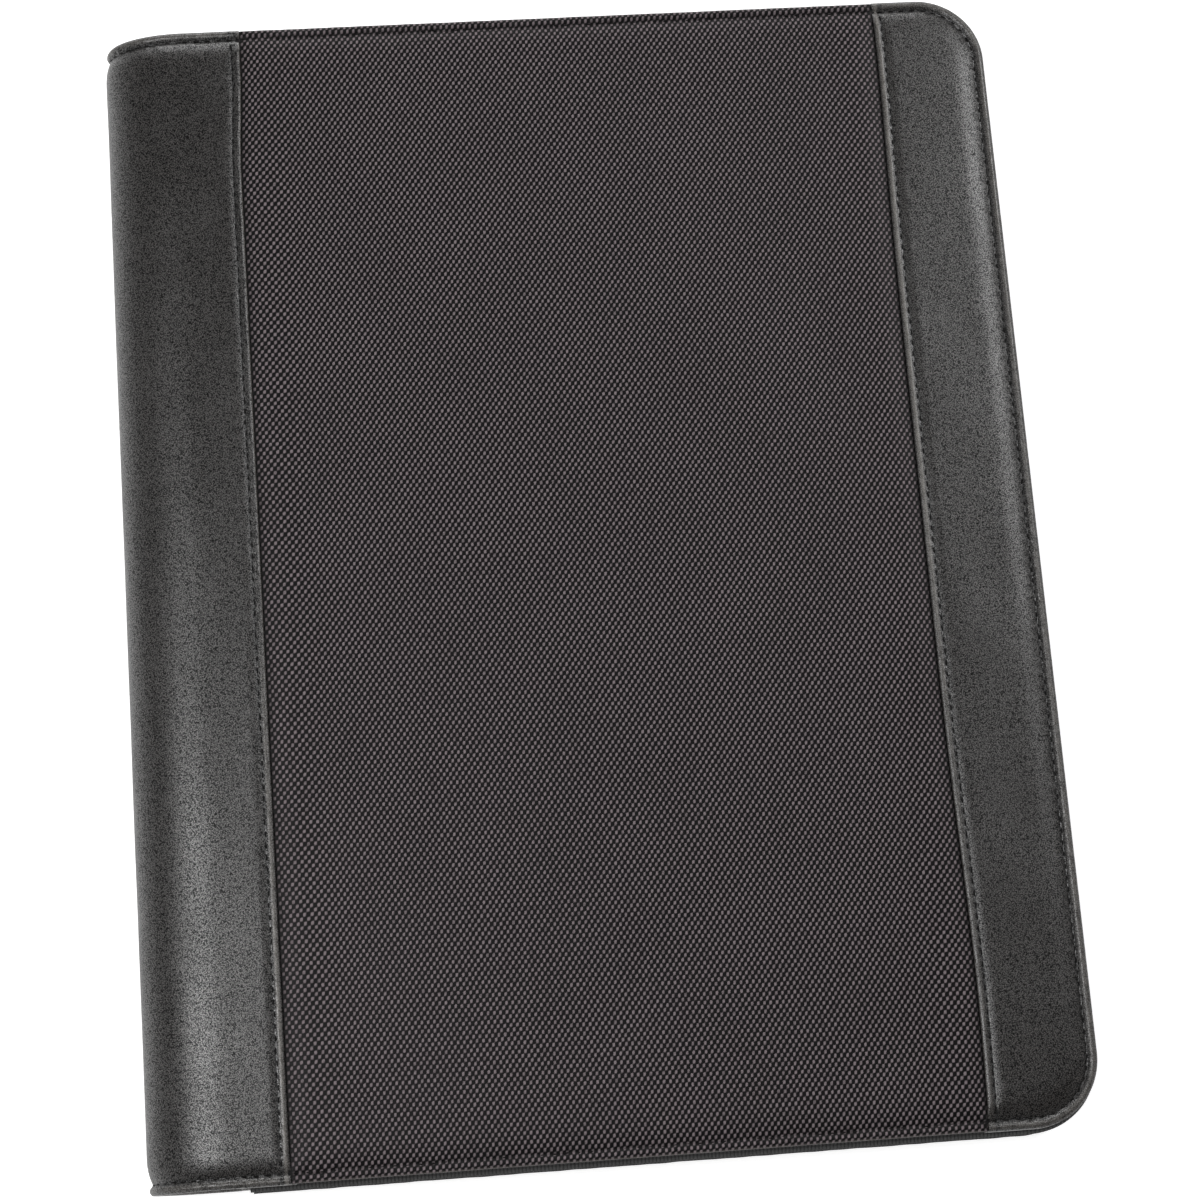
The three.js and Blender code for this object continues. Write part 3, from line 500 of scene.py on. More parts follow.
def strip_points(seed, room):
    """Strip round the fore edge: rings along the outline and the plain middle that they leave."""
    runs = stations(0, CORNER_X - FORE_SEAM, (0,), 0.4, FINE_GRID, 6)
    ys = even(-CORNER_Y, CORNER_Y, FINE_GRID)
    s = outline_lengths(runs, ys, CORNER_RADIUS - STITCH_INSET)

    def ring(d):
        return outline_ring(FORE_SEAM, runs, ys, d)

    def top(xy, d, along):
        x, y = xy[..., 0], xy[..., 1]
        return strip_face(x, y, d, x - FORE_SEAM, along, seed, room, (17, 14))

    def tone(xy, d, along):
        y = xy[..., 1]
        return strip_tone(along, d, y, xy[..., 0] - FORE_SEAM, seed, fore_crest_highlight(y))

    rows, tones = [], []
    for d, depth, _ in rim_rows(HEM_DEPTH, top(ring(0), 0, s)):
        rows.append(np.column_stack([ring(d), THICKNESS - depth + 0 * s]))
        # The wall rows take the painted highlight
        tones.append(0 * s + RIM_PAINTED_HIGHLIGHT * (d < 0))
    inner = list(np.arange(FACE_STEPS[-1] + 1.25, CORNER_RADIUS, 1.25)) + [CORNER_RADIUS]
    for d in FACE_STEPS + inner:
        xy = ring(d)
        rows.append(np.column_stack([xy, THICKNESS - top(xy, d, s)]))
        tones.append(tone(xy, d, s))
    rings = np.array(rows), np.zeros((len(rows), len(s), 2)), np.array(tones)
    rings = with_lip(*with_lip(*rings, 0, 1), -1, 1)

    xy = np.stack(np.meshgrid(FORE_SEAM + runs, ys), -1)
    d = np.minimum(FORE - xy[..., 0], HEAD - np.abs(xy[..., 1]))
    middle = np.dstack([xy, THICKNESS - top(xy, d, xy[..., 1])])
    lip = with_lip(middle, np.zeros(xy.shape), tone(xy, d, xy[..., 1]), 0, 1)
    return [(rings[0], rings[2]), (lip[0], lip[2])]


# Points closer than this are one
WELD_GAP = 0.002


def weld(name, patches, over, flip):
    """Joins grids of points whose edges meet into one mesh; a patch is its points and tones."""
    points = np.concatenate([p.reshape(-1, 3) for p, _ in patches])
    tones = np.concatenate([t.ravel() for _, t in patches])
    faces = []
    start = 0
    for p, _ in patches:
        faces.append(grid_faces(*p.shape[:2], start))
        start += p.shape[0] * p.shape[1]
    keys = np.round(points / WELD_GAP).astype(int)
    _, first, back = np.unique(keys, axis=0, return_index=True, return_inverse=True)
    welded = []
    for f in back.reshape(-1)[np.concatenate(faces)]:
        kept = [int(v) for i, v in enumerate(f) if v != f[i - 1]]
        if len(set(kept)) > 2:
            welded.append(kept)
    return build(name, over(points[first]), welded, None, flip, tones[first])


# Zip tape: a flange between hem and lining, a roll under the cover's rim and a fall to the teeth

ZIP_RADIUS = CORNER_RADIUS - ZIP_INSET
ZIP_RUN = CORNER_X - CURVE_START - ZIP_START
ZIP_TOTAL = 2 * (ZIP_RUN + ZIP_RADIUS * pi / 2 + CORNER_Y)
TAPE_THICKNESS = 0.55
WELT = 3.7
TAIL_WELT = 4.0
# Profile of the tape: places outward, as shares of its width along the welt, and heights
TAPE_FLANGE = [(-8.6, 23.42), (-4, 23.42), (-1, 23.42)]
TAPE_WELT = [(0.1, 23.4), (0.5, 23.36), (0.8, 23.2), (0.95, 22.85), (1, 22.4), (0.93, 21.97), (0.72, 21.66)]
TAPE_FALL = [(1.4, 21.52), (0.5, 21.3), (0.08, 20.8), (0, 20), (0, 19.1)]


def zip_place(s):
    """Place and outward direction at distances along the zip, from the spine's head end to its tail end."""
    q = np.minimum(s, ZIP_TOTAL - s)
    turn = np.clip((q - ZIP_RUN) / ZIP_RADIUS, 0, pi / 2)
    side = np.where(s > ZIP_TOTAL / 2, -1, 1)
    x = CURVE_START + ZIP_START + np.minimum(q, ZIP_RUN) + ZIP_RADIUS * np.sin(turn)
    past = np.clip(q - ZIP_RUN - ZIP_RADIUS * pi / 2, 0, None)
    y = CORNER_Y + ZIP_RADIUS * np.cos(turn) - past
    return x, side * y, np.sin(turn), side * np.cos(turn)


def tape_points(tail_side, seed):
    s = even(0, ZIP_TOTAL, 1.1)
    x, y, nx, ny = zip_place(s)
    welt = WELT + (TAIL_WELT - WELT) * smoothstep(-tail_side * y, 120, 150)
    welt = welt + 0.07 * wobble(s / 2, seed)
    centre = []
    for profile, width in ((TAPE_FLANGE, 1), (TAPE_WELT, welt), (TAPE_FALL, 1)):
        centre += [np.stack([place * width + 0 * s, height + 0 * s], 1) for place, height in profile]
    centre = np.stack(centre, 1)
    shift = side_direction(centre, 1) * TAPE_THICKNESS / 2
    loop = np.concatenate([centre + shift, (centre - shift)[:, ::-1], (centre + shift)[:, :1]], 1)
    x, y = (p[:, None] + loop[..., 0] * n[:, None] for p, n in ((x, nx), (y, ny)))
    points = np.stack([x, y, loop[..., 1]], -1)
    return points, np.stack(np.meshgrid(distances(loop[0]), s), -1)


# Lining of a cover: stepped over hem and flange, and turned down the board's edge to the spine's lining

LINING_LEFT = CURVE_START + 1.3
LINING_STEPS = [3.78, 3.7, 3.74, 3.9, 4.2, 4.7, 5.2, 5.6, 6.0, 6.6, 7.6, 9, 11, 13]
LINING_STEPS += [14, 14.6, 15, 15.5, 16, 16.5, 17.2, 18.5, 20]
# Lift of the edge above the tape, and the turn at the spine as distance and share of the way down
LINING_EDGE = [0.5, 0.3, 0.12, 0.03]
LINING_TURN = [(0.12, 0.2), (0.22, 0.5), (0.35, 0.85), (0.7, 1), (1.35, 1)]
LINING_SEAM = 5.6
# Where the lining steps from the hem to the board
LINING_CHANGE = (14.4, 16.6)
LINING_GRID = 2


def lining_patches(seed):
    runs = even(0, CORNER_X - LINING_LEFT, LINING_GRID)
    ys = even(-CORNER_Y, CORNER_Y, LINING_GRID)
    s = outline_lengths(runs, ys, CORNER_RADIUS - LINING_SEAM)

    def depth(xy, d, along):
        inner = smoothstep(d, *LINING_CHANGE)
        base = BORDER_LINING * (1 - inner) + LINING * inner
        holes = 0.16 * bump_at(d, LINING_SEAM, 0.7) * (1 + 0.5 * np.cos(2 * pi * along / STITCH_PITCH))
        wave = 0.05 * wobble(along, seed) * bump_at(d, LINING_SEAM, 3)
        return base - holes - wave - np.abs(swell(xy[..., 0], xy[..., 1], seed, 0.1)) * inner

    rows = []
    for d, lift in zip_longest(LINING_STEPS, LINING_EDGE, fillvalue=0):
        xy = outline_ring(LINING_LEFT, runs, ys, d)
        rows.append(np.column_stack([xy, THICKNESS - depth(xy, d, s) + lift]))
    xy = np.stack(np.meshgrid(LINING_LEFT + runs, ys), -1)
    middle = np.dstack([xy, THICKNESS - depth(xy, CORNER_RADIUS, 0)])

    def turned(points, col):
        x, y, z = points[:, col].T
        low = THICKNESS - SPINE_LINING
        fall = [np.stack([x - dx, y, z * (1 - t) + low * t], 1) for dx, t in LINING_TURN]
        return joined(points, fall, col)

    rings, middle = turned(turned(np.array(rows), 0), -1), turned(middle, 0)
    # Shade painted along the lining's stitch line
    tones = -0.7 * bump_at(np.array(LINING_STEPS), LINING_SEAM, 0.4)
    tones = np.repeat(tones[:, None], rings.shape[1], 1)
    return [(rings, tones), (middle, np.zeros(middle.shape[:2]))]


# Pockets: pinned along both sides and the foot, loose at the hemmed mouth

POCKET_STEPS = [0, 0.15, 0.4, 0.8, 1.2, 1.7, 2.4, 3.4, 5]
POCKET_GRID = 1.6
POCKET_SEAM = 1.1
POCKET_HEM = 9
HEM_SEAM = 1.2
HEM_RISE = 0.15
# Lift of the sewn rim, and the distances from it between which the cloth rises
PINNED = 0.35
PIN_REACH = (1.2, 2.6)
CLOTH_GIVE = 0.12
HEM_FOLD = 0.14


def fine_shares(length):
    """Shares from 0 to 1 along a length, finer near both ends."""
    ends = np.array(POCKET_STEPS)
    inner = even(ends[-1], length - ends[-1], POCKET_GRID)
    return np.concatenate([ends[:-1], inner, length - ends[:-1][::-1]]) / length


def pocket_points(left, right, foot, mouth, base, seed, rise):
    """right(y) and mouth(x) are the far side and the mouth; the pocket lies at the depth base."""
    far = right((foot + mouth(left)) / 2)
    u = fine_shares(far - left)[None]
    v = fine_shares(mouth(left) - foot)[:, None]
    y = foot + v * (mouth(left + u * (far - left)) - foot)
    x = left + u * (right(y) - left)
    end = mouth(x) - y
    pin = np.minimum(np.minimum(x - left, right(y) - x), y - foot)
    depth = base + PINNED + (rise - PINNED) * smoothstep(pin, *PIN_REACH)
    depth = depth + CLOTH_GIVE * smoothstep(pin, 2, 12) * (1 + swell(x, y, seed, 0.8))
    depth = depth - CLOTH_GIVE * bump_at(pin, POCKET_SEAM, 0.5)
    depth = depth + HEM_FOLD * smoothstep(POCKET_HEM - end, 0, 0.7)
    depth = depth - HEM_FOLD * bump_at(end, POCKET_HEM - HEM_SEAM, 0.5)
    depth = depth - 0.3 * rise * bump_at(end, 0, 0.25)
    points = np.pad(np.stack([x, y, depth], -1), ((1, 1), (1, 1), (0, 0)), mode="edge")
    points[[0, -1], :, 2] = base
    points[:, [0, -1], 2] = base
    # Shade painted along the pocket's stitch lines
    tone = -0.8 * bump_at(pin, POCKET_SEAM, 0.4) - 0.6 * bump_at(end, POCKET_HEM - HEM_SEAM, 0.4)
    return points, np.pad(tone, 1, mode="edge")


def in_cover(points, back):
    """Points whose third value is a depth, put into the front or back cover."""
    return points if back else points * (1, 1, -1) + (0, 0, THICKNESS)


# Stitches: each is a short thread that comes up from one hole and goes down in the next

THREAD_RINGS = np.array([-1, -0.86, -0.5, 0, 0.5, 0.86, 1])
THREAD_SIDES = 6
THREAD_SPREAD = 0.06
THREAD_LEAN = 0.05
THREAD_SINK = 0.5


def stitch_faces(count):
    rings, sides = len(THREAD_RINGS), THREAD_SIDES
    ring = np.arange(rings - 1)[:, None] * sides
    a, b = ring + np.arange(sides), ring + (np.arange(sides) + 1) % sides
    one = np.stack([a, b, b + sides, a + sides], -1).reshape(-1, 4)
    return (one[None] + (np.arange(count) * rings * sides)[:, None, None]).reshape(-1, 4)


def stitches(name, centres, tangents, ups, lift=0.1):
    centres, tangents, ups = (np.asarray(a, float)[:, None, None] for a in (centres, tangents, ups))
    count = len(centres)
    sides = np.cross(tangents, ups)
    t = THREAD_RINGS[:, None, None]
    turn = (np.arange(THREAD_SIDES) / THREAD_SIDES * 2 * pi)[:, None]
    r = THREAD * np.sqrt(np.clip(1.05 - t**6, 0.05, 1))
    shift, stretch = rng.normal(0, THREAD_SPREAD, (2, count, 1, 1, 1))
    lean = rng.normal(0, THREAD_LEAN, (count, 1, 1, 1))
    half = STITCH_LENGTH / 2 + stretch
    side = np.cos(turn) * r + shift + lean * t * half
    up = np.sin(turn) * r + lift - THREAD_SINK * t**4
    points = centres + tangents * t * half + sides * side + ups * up
    return build(name, points.reshape(-1, 3), stitch_faces(count).tolist())


def seam_centres(start, end):
    first = ceil(start / STITCH_PITCH - 0.5) + 0.5
    s = (first + np.arange(int((end - start) / STITCH_PITCH) + 1)) * STITCH_PITCH
    return s[(s > start) & (s < end)]


def sew(name, body, slot, line, up, lift=0.1):
    """A row of stitches along a line of points, on a seam that faces up."""
    line = np.asarray(line, float)
    s = distances(line)
    at = seam_centres(0.5, s[-1] - 0.5)

    def place_at(q):
        return np.stack([np.interp(q, s, column) for column in line.T], 1)

    tangents = place_at(at + 0.5) - place_at(at - 0.5)
    tangents /= np.linalg.norm(tangents, axis=1, keepdims=True)
    obj = stitches(name, place_at(at), tangents, np.tile(up, (len(at), 1)), lift)
    put(obj, body, slot, "thread")


# Materials


def empty_tree(owner):
    owner.use_nodes = True
    owner.node_tree.nodes.clear()
    return owner.node_tree


def new_material(name):
    material = bpy.data.materials.new(name)
    return material, empty_tree(material)


def add(kind, inputs, tree=None, **settings):
    """Adds a shader node. inputs maps a socket's name or number to a value or to another node's socket.
    Without a tree, the node goes where those sockets are."""
    links = {key: value for key, value in inputs.items() if isinstance(value, bpy.types.NodeSocket)}
    tree = tree or list(links.values())[0].id_data
    node = tree.nodes.new("ShaderNode" + kind)
    for key, value in settings.items():
        setattr(node, key, value)
    for key, value in inputs.items():
        if key in links:
            tree.links.new(value, node.inputs[key])
        else:
            node.inputs[key].default_value = value
    return node


def maths(operation, a, b=None, c=None):
    inputs = {i: v for i, v in enumerate((a, b, c)) if v is not None}
    return add("Math", inputs, operation=operation).outputs[0]


def times(a, b, plus=None):
    return maths("MULTIPLY" if plus is None else "MULTIPLY_ADD", a, b, plus)


def place(tree, source, steps):
    """Texture coordinates in steps per millimetre: UV maps hold millimetres, Object coordinates metres."""
    coords = add("TexCoord", {}, tree).outputs[source]
    factor = np.array(steps if hasattr(steps, "__len__") else (steps,) * 3, float)
    factor = tuple(factor if source == "UV" else factor / MM)
    return add("VectorMath", {0: coords, 1: factor}, operation="MULTIPLY").outputs[0]


def noise(vector, scale, detail=2.0, roughness=0.5):
    inputs = {"Vector": vector, "Scale": scale, "Detail": detail, "Roughness": roughness}
    return add("TexNoise", inputs).outputs[0]


def cells(vector, scale):
    return add("TexVoronoi", {"Vector": vector, "Scale": scale}).outputs["Distance"]


def ramp(value, low, high, out_low=0.0, out_high=1.0, kind="LINEAR"):
    inputs = {"Value": value, "From Min": low, "From Max": high, "To Min": out_low, "To Max": out_high}
    return add("MapRange", inputs, interpolation_type=kind).outputs[0]


def yarns(vector):
    """Angles, and their sines, that pass half a turn at each yarn of a weave's two directions."""
    angles = [times(axis, pi) for axis in add("SeparateXYZ", {0: vector}).outputs[:2]]
    return angles, [maths("SINE", angle) for angle in angles]


def mix_colour(share, a, b):
    return add("Mix", {0: share, 6: a, 7: b}, data_type="RGBA").outputs[2]


def toned(colour, dark, light):
    """Colour darkened by shade painted into the seams' grooves and lightened by a highlight painted on their
    beads and turned edges, with some real rubbing on the leatherette's beads.
    """
    value = add("Attribute", {}, colour.id_data, attribute_name="seam_tone").outputs["Fac"]
    colour = mix_colour(ramp(value, 0.0, -1.0, 0.0, 0.92), colour, dark)
    return mix_colour(ramp(value, 0.0, 1.0, 0.0, 0.8), colour, light)


def finish(material, colour, roughness, height, strength, distance=0.1, specular=0.5, metallic=0.0):
    """Shader with a bump of the given strength and height in millimetres."""
    bump = add("Bump", {"Strength": strength, "Distance": distance * MM, "Height": height})
    inputs = {"Base Color": colour, "Roughness": roughness, "Normal": bump.outputs[0]}
    shader = add("BsdfPrincipled", {**inputs, "Specular IOR Level": specular, "Metallic": metallic})
    add("OutputMaterial", {"Surface": shader.outputs[0]})
    return material


def grey(v):
    return (v, v, v, 1)


# Spacing of the nylon's yarns across and up the panel, its tones in gaps and on knobs, and the highlight
# painted along its turned edges
WARP = 0.89
WEFT = 1.25
NYLON_GAP = (0.0008, 0.0007, 0.0008, 1)
NYLON_KNOB = (0.19, 0.158, 0.168, 1)
NYLON_PAINTED_HIGHLIGHT = (0.13, 0.115, 0.105, 1)


def woven(name):
    """Coarse weave: a light knob at every other crossing and a dark gap between, in rising diagonals."""
    material, tree = new_material(name)
    p = place(tree, "UV", (1 / WARP, 1 / WEFT, 0))
    drift = add("TexNoise", {"Vector": p, "Scale": 0.3, "Detail": 1.0}).outputs["Color"]
    shift = {0: drift, 1: (0.3, 0.3, 0.0), 2: p}
    shifted = add("VectorMath", shift, operation="MULTIPLY_ADD").outputs[0]
    (u, v), sines = yarns(shifted)
    diagonal = maths("COSINE", maths("SUBTRACT", u, v))
    weave = times(diagonal, 0.14, times(*sines))
    fibre = noise(p, 4.0, 2.0, 0.6)
    weave = times(maths("SUBTRACT", fibre, 0.5), 0.7, weave)
    knob = ramp(weave, -0.12, 0.72, kind="SMOOTHSTEP")
    uneven = times(ramp(noise(p, 0.9, 1.0), 0.25, 0.75, 0.55, 1.35), knob)
    slow = ramp(noise(p, 0.03, 3.0), 0.3, 0.7, 0.9, 1.08)
    colour = mix_colour(times(uneven, slow), NYLON_GAP, NYLON_KNOB)
    # Shade painted into grooves and beside the fold, and a highlight painted along the turned edges
    colour = toned(colour, grey(0.003), NYLON_PAINTED_HIGHLIGHT)
    rough = ramp(fibre, 0.3, 0.7, 0.42, 0.6)
    return finish(material, colour, rough, knob, 0.7, 0.3, specular=0.15)


# Tones of the leatherette between and on its pebbles and in duller patches, and of the highlight painted on
# its beads and turned edges, with some real rubbing on the beads
LEATHER_LOW = (0.0015, 0.0012, 0.001, 1)
LEATHER_HIGH = (0.062, 0.05, 0.044, 1)
LEATHER_DULL = (0.009, 0.0072, 0.0066, 1)
LEATHER_HIGHLIGHT_AND_WEAR = (0.2, 0.187, 0.172, 1)


def leather(name, source="Object"):
    """Fine pebbled leatherette with a satin coat."""
    material, tree = new_material(name)
    p = place(tree, source, 1.0)
    pebble = cells(p, 2.9)
    fine = cells(p, 4.6)
    pores = noise(p, 3.6, 2.0, 0.6)
    slow = noise(p, 0.05, 3.0)
    grain = times(fine, -0.5, times(pebble, -1.0))
    height = times(pores, 0.5, grain)
    speck = ramp(height, -0.52, 0.02, kind="SMOOTHSTEP")
    colour = mix_colour(speck, LEATHER_LOW, LEATHER_HIGH)
    colour = mix_colour(ramp(slow, 0.35, 0.7, 0.0, 0.3), colour, LEATHER_DULL)
    # Shade painted into grooves and a highlight painted on beads and turned edges, with some real rubbing on
    # the beads
    colour = toned(colour, grey(0.002), LEATHER_HIGHLIGHT_AND_WEAR)
    rough = times(pores, 0.3, ramp(slow, 0.3, 0.7, 0.2, 0.28))
    gloss = ramp(height, -0.8, -0.15, 0.15, 1.7)
    return finish(material, colour, rough, height, 1.0, 0.03, specular=gloss)


def cloth(name, tone, pitch, source="UV", rib=0.0, strength=0.5):
    """Fine woven cloth, tape or elastic; rib deepens the furrows across the second direction."""
    material, tree = new_material(name)
    p = place(tree, source, 1 / pitch)
    _, sines = yarns(p)
    checks = maths("ABSOLUTE", times(*sines))
    weave = times(maths("ABSOLUTE", sines[1]), rib, checks)
    fibre = noise(p, 2.0, 3.0, 0.6)
    slow = noise(p, 0.02, 3.0)
    height = times(fibre, 0.4, weave)
    level = times(height, 0.6, times(slow, 0.5))
    colour = mix_colour(ramp(level, 0.25, 0.95), grey(tone * 0.3), grey(tone * 1.7))
    # Shade painted into the stitch lines from the seam tone; the light colour is for painted highlights
    colour = toned(colour, grey(tone * 0.1), grey(tone * 3))
    return finish(material, colour, 0.8, height, strength, 0.12, specular=0.25)


MOTTLE = 0.15


def plain(name, colour, roughness, metallic=0.0, bump=0.1, specular=0.4):
    """Solid finish with slight mottling and wear."""
    material, tree = new_material(name)
    p = place(tree, "Object", 1.0)
    slow = noise(p, 0.12, 4.0)
    fine = noise(p, 1.5, 3.0, 0.6)
    low, high = ((*(c * share for c in colour), 1) for share in (1 - MOTTLE, 1 + MOTTLE))
    tone = mix_colour(ramp(slow, 0.3, 0.7), low, high)
    mixed = times(fine, 0.4, slow)
    rough = ramp(mixed, 0.4, 1.0, roughness * 0.85, min(1, roughness * 1.15))
    return finish(material, tone, rough, fine, bump, metallic=metallic, specular=specular)


# Height of one drawn sheet
SHEET = 0.22


def page_edges(name):
    """White paper with shade painted as fine lines between its sheets on the cut sides, among random bands
    of tone.
    """
    material, tree = new_material(name)
    p = place(tree, "Object", 1.0)
    height = add("SeparateXYZ", {0: p}).outputs[2]
    level = times(noise(p, 0.5), 0.25, height)
    lines = maths("SINE", times(level, 2 * pi / SHEET))
    layer = add("CombineXYZ", {2: height}).outputs[0]
    bands = noise(layer, 2.3, 4.0)
    normal = add("TexCoord", {}, tree).outputs["Normal"]
    upright = maths("ABSOLUTE", add("SeparateXYZ", {0: normal}).outputs[2])
    side = maths("LESS_THAN", upright, 0.5)
    # Painted shade lines between the sheets and random bands, on the cut sides only
    shade = times(lines, 0.09, times(bands, 0.35))
    share = times(shade, side)
    colour = mix_colour(share, (0.8, 0.8, 0.77, 1), (0.35, 0.34, 0.32, 1))
    return finish(material, colour, 0.75, lines, 0.15)


LOOKS = {
    "nylon": woven("nylon_weave"),
    "leather": leather("leatherette_grain"),
    "leather_wrap": leather("leatherette_wrap", "UV"),
    "thread": plain("black_thread", (0.006, 0.0055, 0.0055), 0.75, bump=0.3, specular=0.15),
    "lining": cloth("lining_cloth", 0.014, 0.32),
    "board_cloth": cloth("cover_lining_cloth", 0.014, 0.32, "Object"),
    "pocket": cloth("pocket_cloth", 0.017, 0.45),
    "tape": cloth("zip_tape_weave", 0.042, 1.05, rib=0.45, strength=1.2),
    "elastic": cloth("ribbed_elastic", 0.016, 0.8, rib=1.5, strength=0.9),
    "teeth": plain("moulded_teeth", (0.016, 0.016, 0.017), 0.38),
    "metal": plain("black_lacquer", (0.03, 0.03, 0.032), 0.3, 0.85, bump=0.05),
    "board": plain("grey_board", (0.26, 0.22, 0.17), 0.9, bump=0.3),
    "card": plain("pad_card", (0.45, 0.36, 0.26), 0.85, bump=0.25),
    "paper": page_edges("paper_sheets"),
    "binding": cloth("binding_cloth", 0.03, 0.4, "Object"),
}


# Covers

SEAM_STITCH_START = 4.5


def cover_stitches(name, body, over):
    """Rows of stitches round one cover and along its two seams."""
    border = THICKNESS - LEATHER_GROOVE

    def row(label, line, lift=0.1):
        sew(f"{name}_{label}", body, "leatherette", over(np.array(line)), upward(over), lift)

    for end, label in ((1, "head"), (-1, "tail")):
        y = end * (HEAD - STITCH_INSET)
        line = [(x, y, THICKNESS - NYLON_GROOVE) for x in (SPINE_SEAM, FORE_SEAM)]
        row(f"nylon_stitches_{label}", line, 0.0)
        row(f"spine_stitches_{label}", [(x, y, border) for x in (SPINE_SEAM - 1, CURVE_START)])
    z = THICKNESS - fold_depth(FOLD_WIDTH)
    reach = HEAD - SEAM_STITCH_START
    for x, label in ((FORE_SEAM + FOLD_WIDTH, "fore"), (SPINE_SEAM - FOLD_WIDTH, "spine")):
        row(f"seam_stitches_{label}", [(x, y, z) for y in np.linspace(-reach, reach, 80)])
    row("edge_stitches", outline_seam(FORE_SEAM, STITCH_INSET, border))


def upward(over):
    """The upward direction, turned as the cover's points are."""
    return (over(np.array([[0, 0, 1.0]])) - over(np.zeros((1, 3))))[0]


def make_cover(name, seed, over, room, tail_side):
    """All soft pieces of one cover. over puts the front cover's points in place."""
    body = f"{name}_cover"
    points, uvs, tones = nylon_points(seed, FINE_GRID if name == "front" else COARSE_GRID, room)
    nylon = grid_object(f"{name}_nylon_skin", over(points), uvs, tone=tones)
    put(nylon, body, "nylon", "nylon", [f"{name}_nylon_panel", f"{name}_padding"])

    strip = weld(f"{name}_edge_skin", strip_points(seed + 10, room), over, False)
    put(strip, body, "leatherette", "leather", [f"{name}_edge_strip"])

    s = stations(0, FLAT_RUN, (0, FLAT_RUN), 0.4, FINE_GRID, 6)
    top, tone = spine_top(seed + 20, room), spine_tone(seed + 20)
    points, uvs, tones = with_lip(*skin(s, wrapped, top, hem_depth, FINE_GRID, tone), 0, -1)
    side = grid_object(f"{name}_spine_skin", over(points), uvs, True, tones)
    put(side, body, "leatherette", "leather_wrap", [f"{name}_spine_strip"])

    points, uvs = tape_points(tail_side, seed + 30)
    tape = grid_object(f"{name}_zip_band", over(points), uvs, True)
    put(tape, body, "zip_tape", "tape", [f"{name}_zip_tape"])

    lining = weld(f"{name}_lining_cloth", lining_patches(seed + 40), over, True)
    put(lining, body, "lining", "board_cloth", [f"{name}_lining"])
    line = over(outline_seam(LINING_LEFT, LINING_SEAM, THICKNESS - BORDER_LINING + 0.1))
    sew(f"{name}_lining_stitches", body, "lining", line, -upward(over))
    cover_stitches(name, body, over)


make_cover("front", 11, sewn, 0.3, 1)
make_cover("back", 51, turned_over, 0, -1)


# Spine: leatherette and lining in four pieces across the four folds, each from one slice's middle to the
# next's

BODIES = ["front_cover", "spine_upper", "spine_middle", "spine_lower", "back_cover"]
CUTS = [arc_at(t) for t in np.arange(5) * pi / 4]
LABELS = ["upper", "upper_middle", "lower_middle", "lower"]
LININGS = [["front_hinge"], ["spine_upper"], ["spine_middle"], ["spine_lower", "back_hinge"]]


def plane_point(s):
    x, z, _, _ = wrapped(np.array([s]))
    return (x[0] * MM, 0, z[0] * MM)


def bend(obj, index, slot, look, nodes):
    start, end = plane_point(CUTS[index]), plane_point(CUTS[index + 1])
    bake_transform(obj)
    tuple(start)
    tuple(end)
    dress(obj, slot, look, nodes)


TOTAL_WRAP = CUTS[-1] + FLAT_RUN
SPINE_COLUMNS = 26
SPINE_LINING_HEAD = HEAD - 3
front_top = spine_top(31, 0.3)
back_top = spine_top(71, 0)


def round_top(s, d, y):
    """Face of the spine, from the front cover's unevenness to the back cover's."""
    share = smoothstep(s, CUTS[1], CUTS[3])
    return front_top(s, d, y) * (1 - share) + back_top(TOTAL_WRAP - s, d, -y) * share


def round_hem(s):
    return np.maximum(hem_depth(s), hem_depth(TOTAL_WRAP - s))


def round_tone(s, d, y):
    return border_tone(s, d, 31)


for index, label in enumerate(LABELS):
    s = np.linspace(CUTS[index], CUTS[index + 1], SPINE_COLUMNS)
    points, uvs, tones = skin(s, wrapped, round_top, round_hem, FINE_GRID, round_tone)
    obj = grid_object(f"spine_skin_{label}", points, uvs, True, tones)
    slices = BODIES[index + 1 : index + 2] if index < 3 else []
    nodes = [f"{n}_{part}" for n in slices for part in ("leatherette", "padding")]
    bend(obj, index, "leatherette", "leather_wrap", nodes)

    section = wrapped(seam_centres(CUTS[index], CUTS[index + 1]))
    _, _, nx, nz = section
    ups = np.stack([-nx, 0 * nx, -nz], -1)
    tangents = np.stack([nz, 0 * nx, -nx], -1)
    for end, side_name in ((1, "head"), (-1, "tail")):
        centres = sunk(section, LEATHER_GROOVE, end * (HEAD - STITCH_INSET))
        threads = stitches(f"spine_stitches_{label}_{side_name}", centres, tangents, ups)
        bend(threads, index, "leatherette", "thread", [])

    ys = np.concatenate([[-1, -0.995], np.linspace(-0.98, 0.98, 120), [0.995, 1]]) * SPINE_LINING_HEAD
    x, y = np.meshgrid(s, ys)
    depth = SPINE_LINING + 0.06 * np.sin(y / 9 + x / 3) * smoothstep(x, CUTS[0], CUTS[0] + 3)
    depth = np.where(np.abs(y) > SPINE_LINING_HEAD - 0.2, SPINE_LINING - 0.5, depth)
    obj = grid_object(f"spine_lining_{label}", sunk(wrapped(x), depth, y), np.stack([x, y], -1))
    bend(obj, index, "lining", "lining", [f"{part}_lining" for part in LININGS[index]])


# Pockets and pad

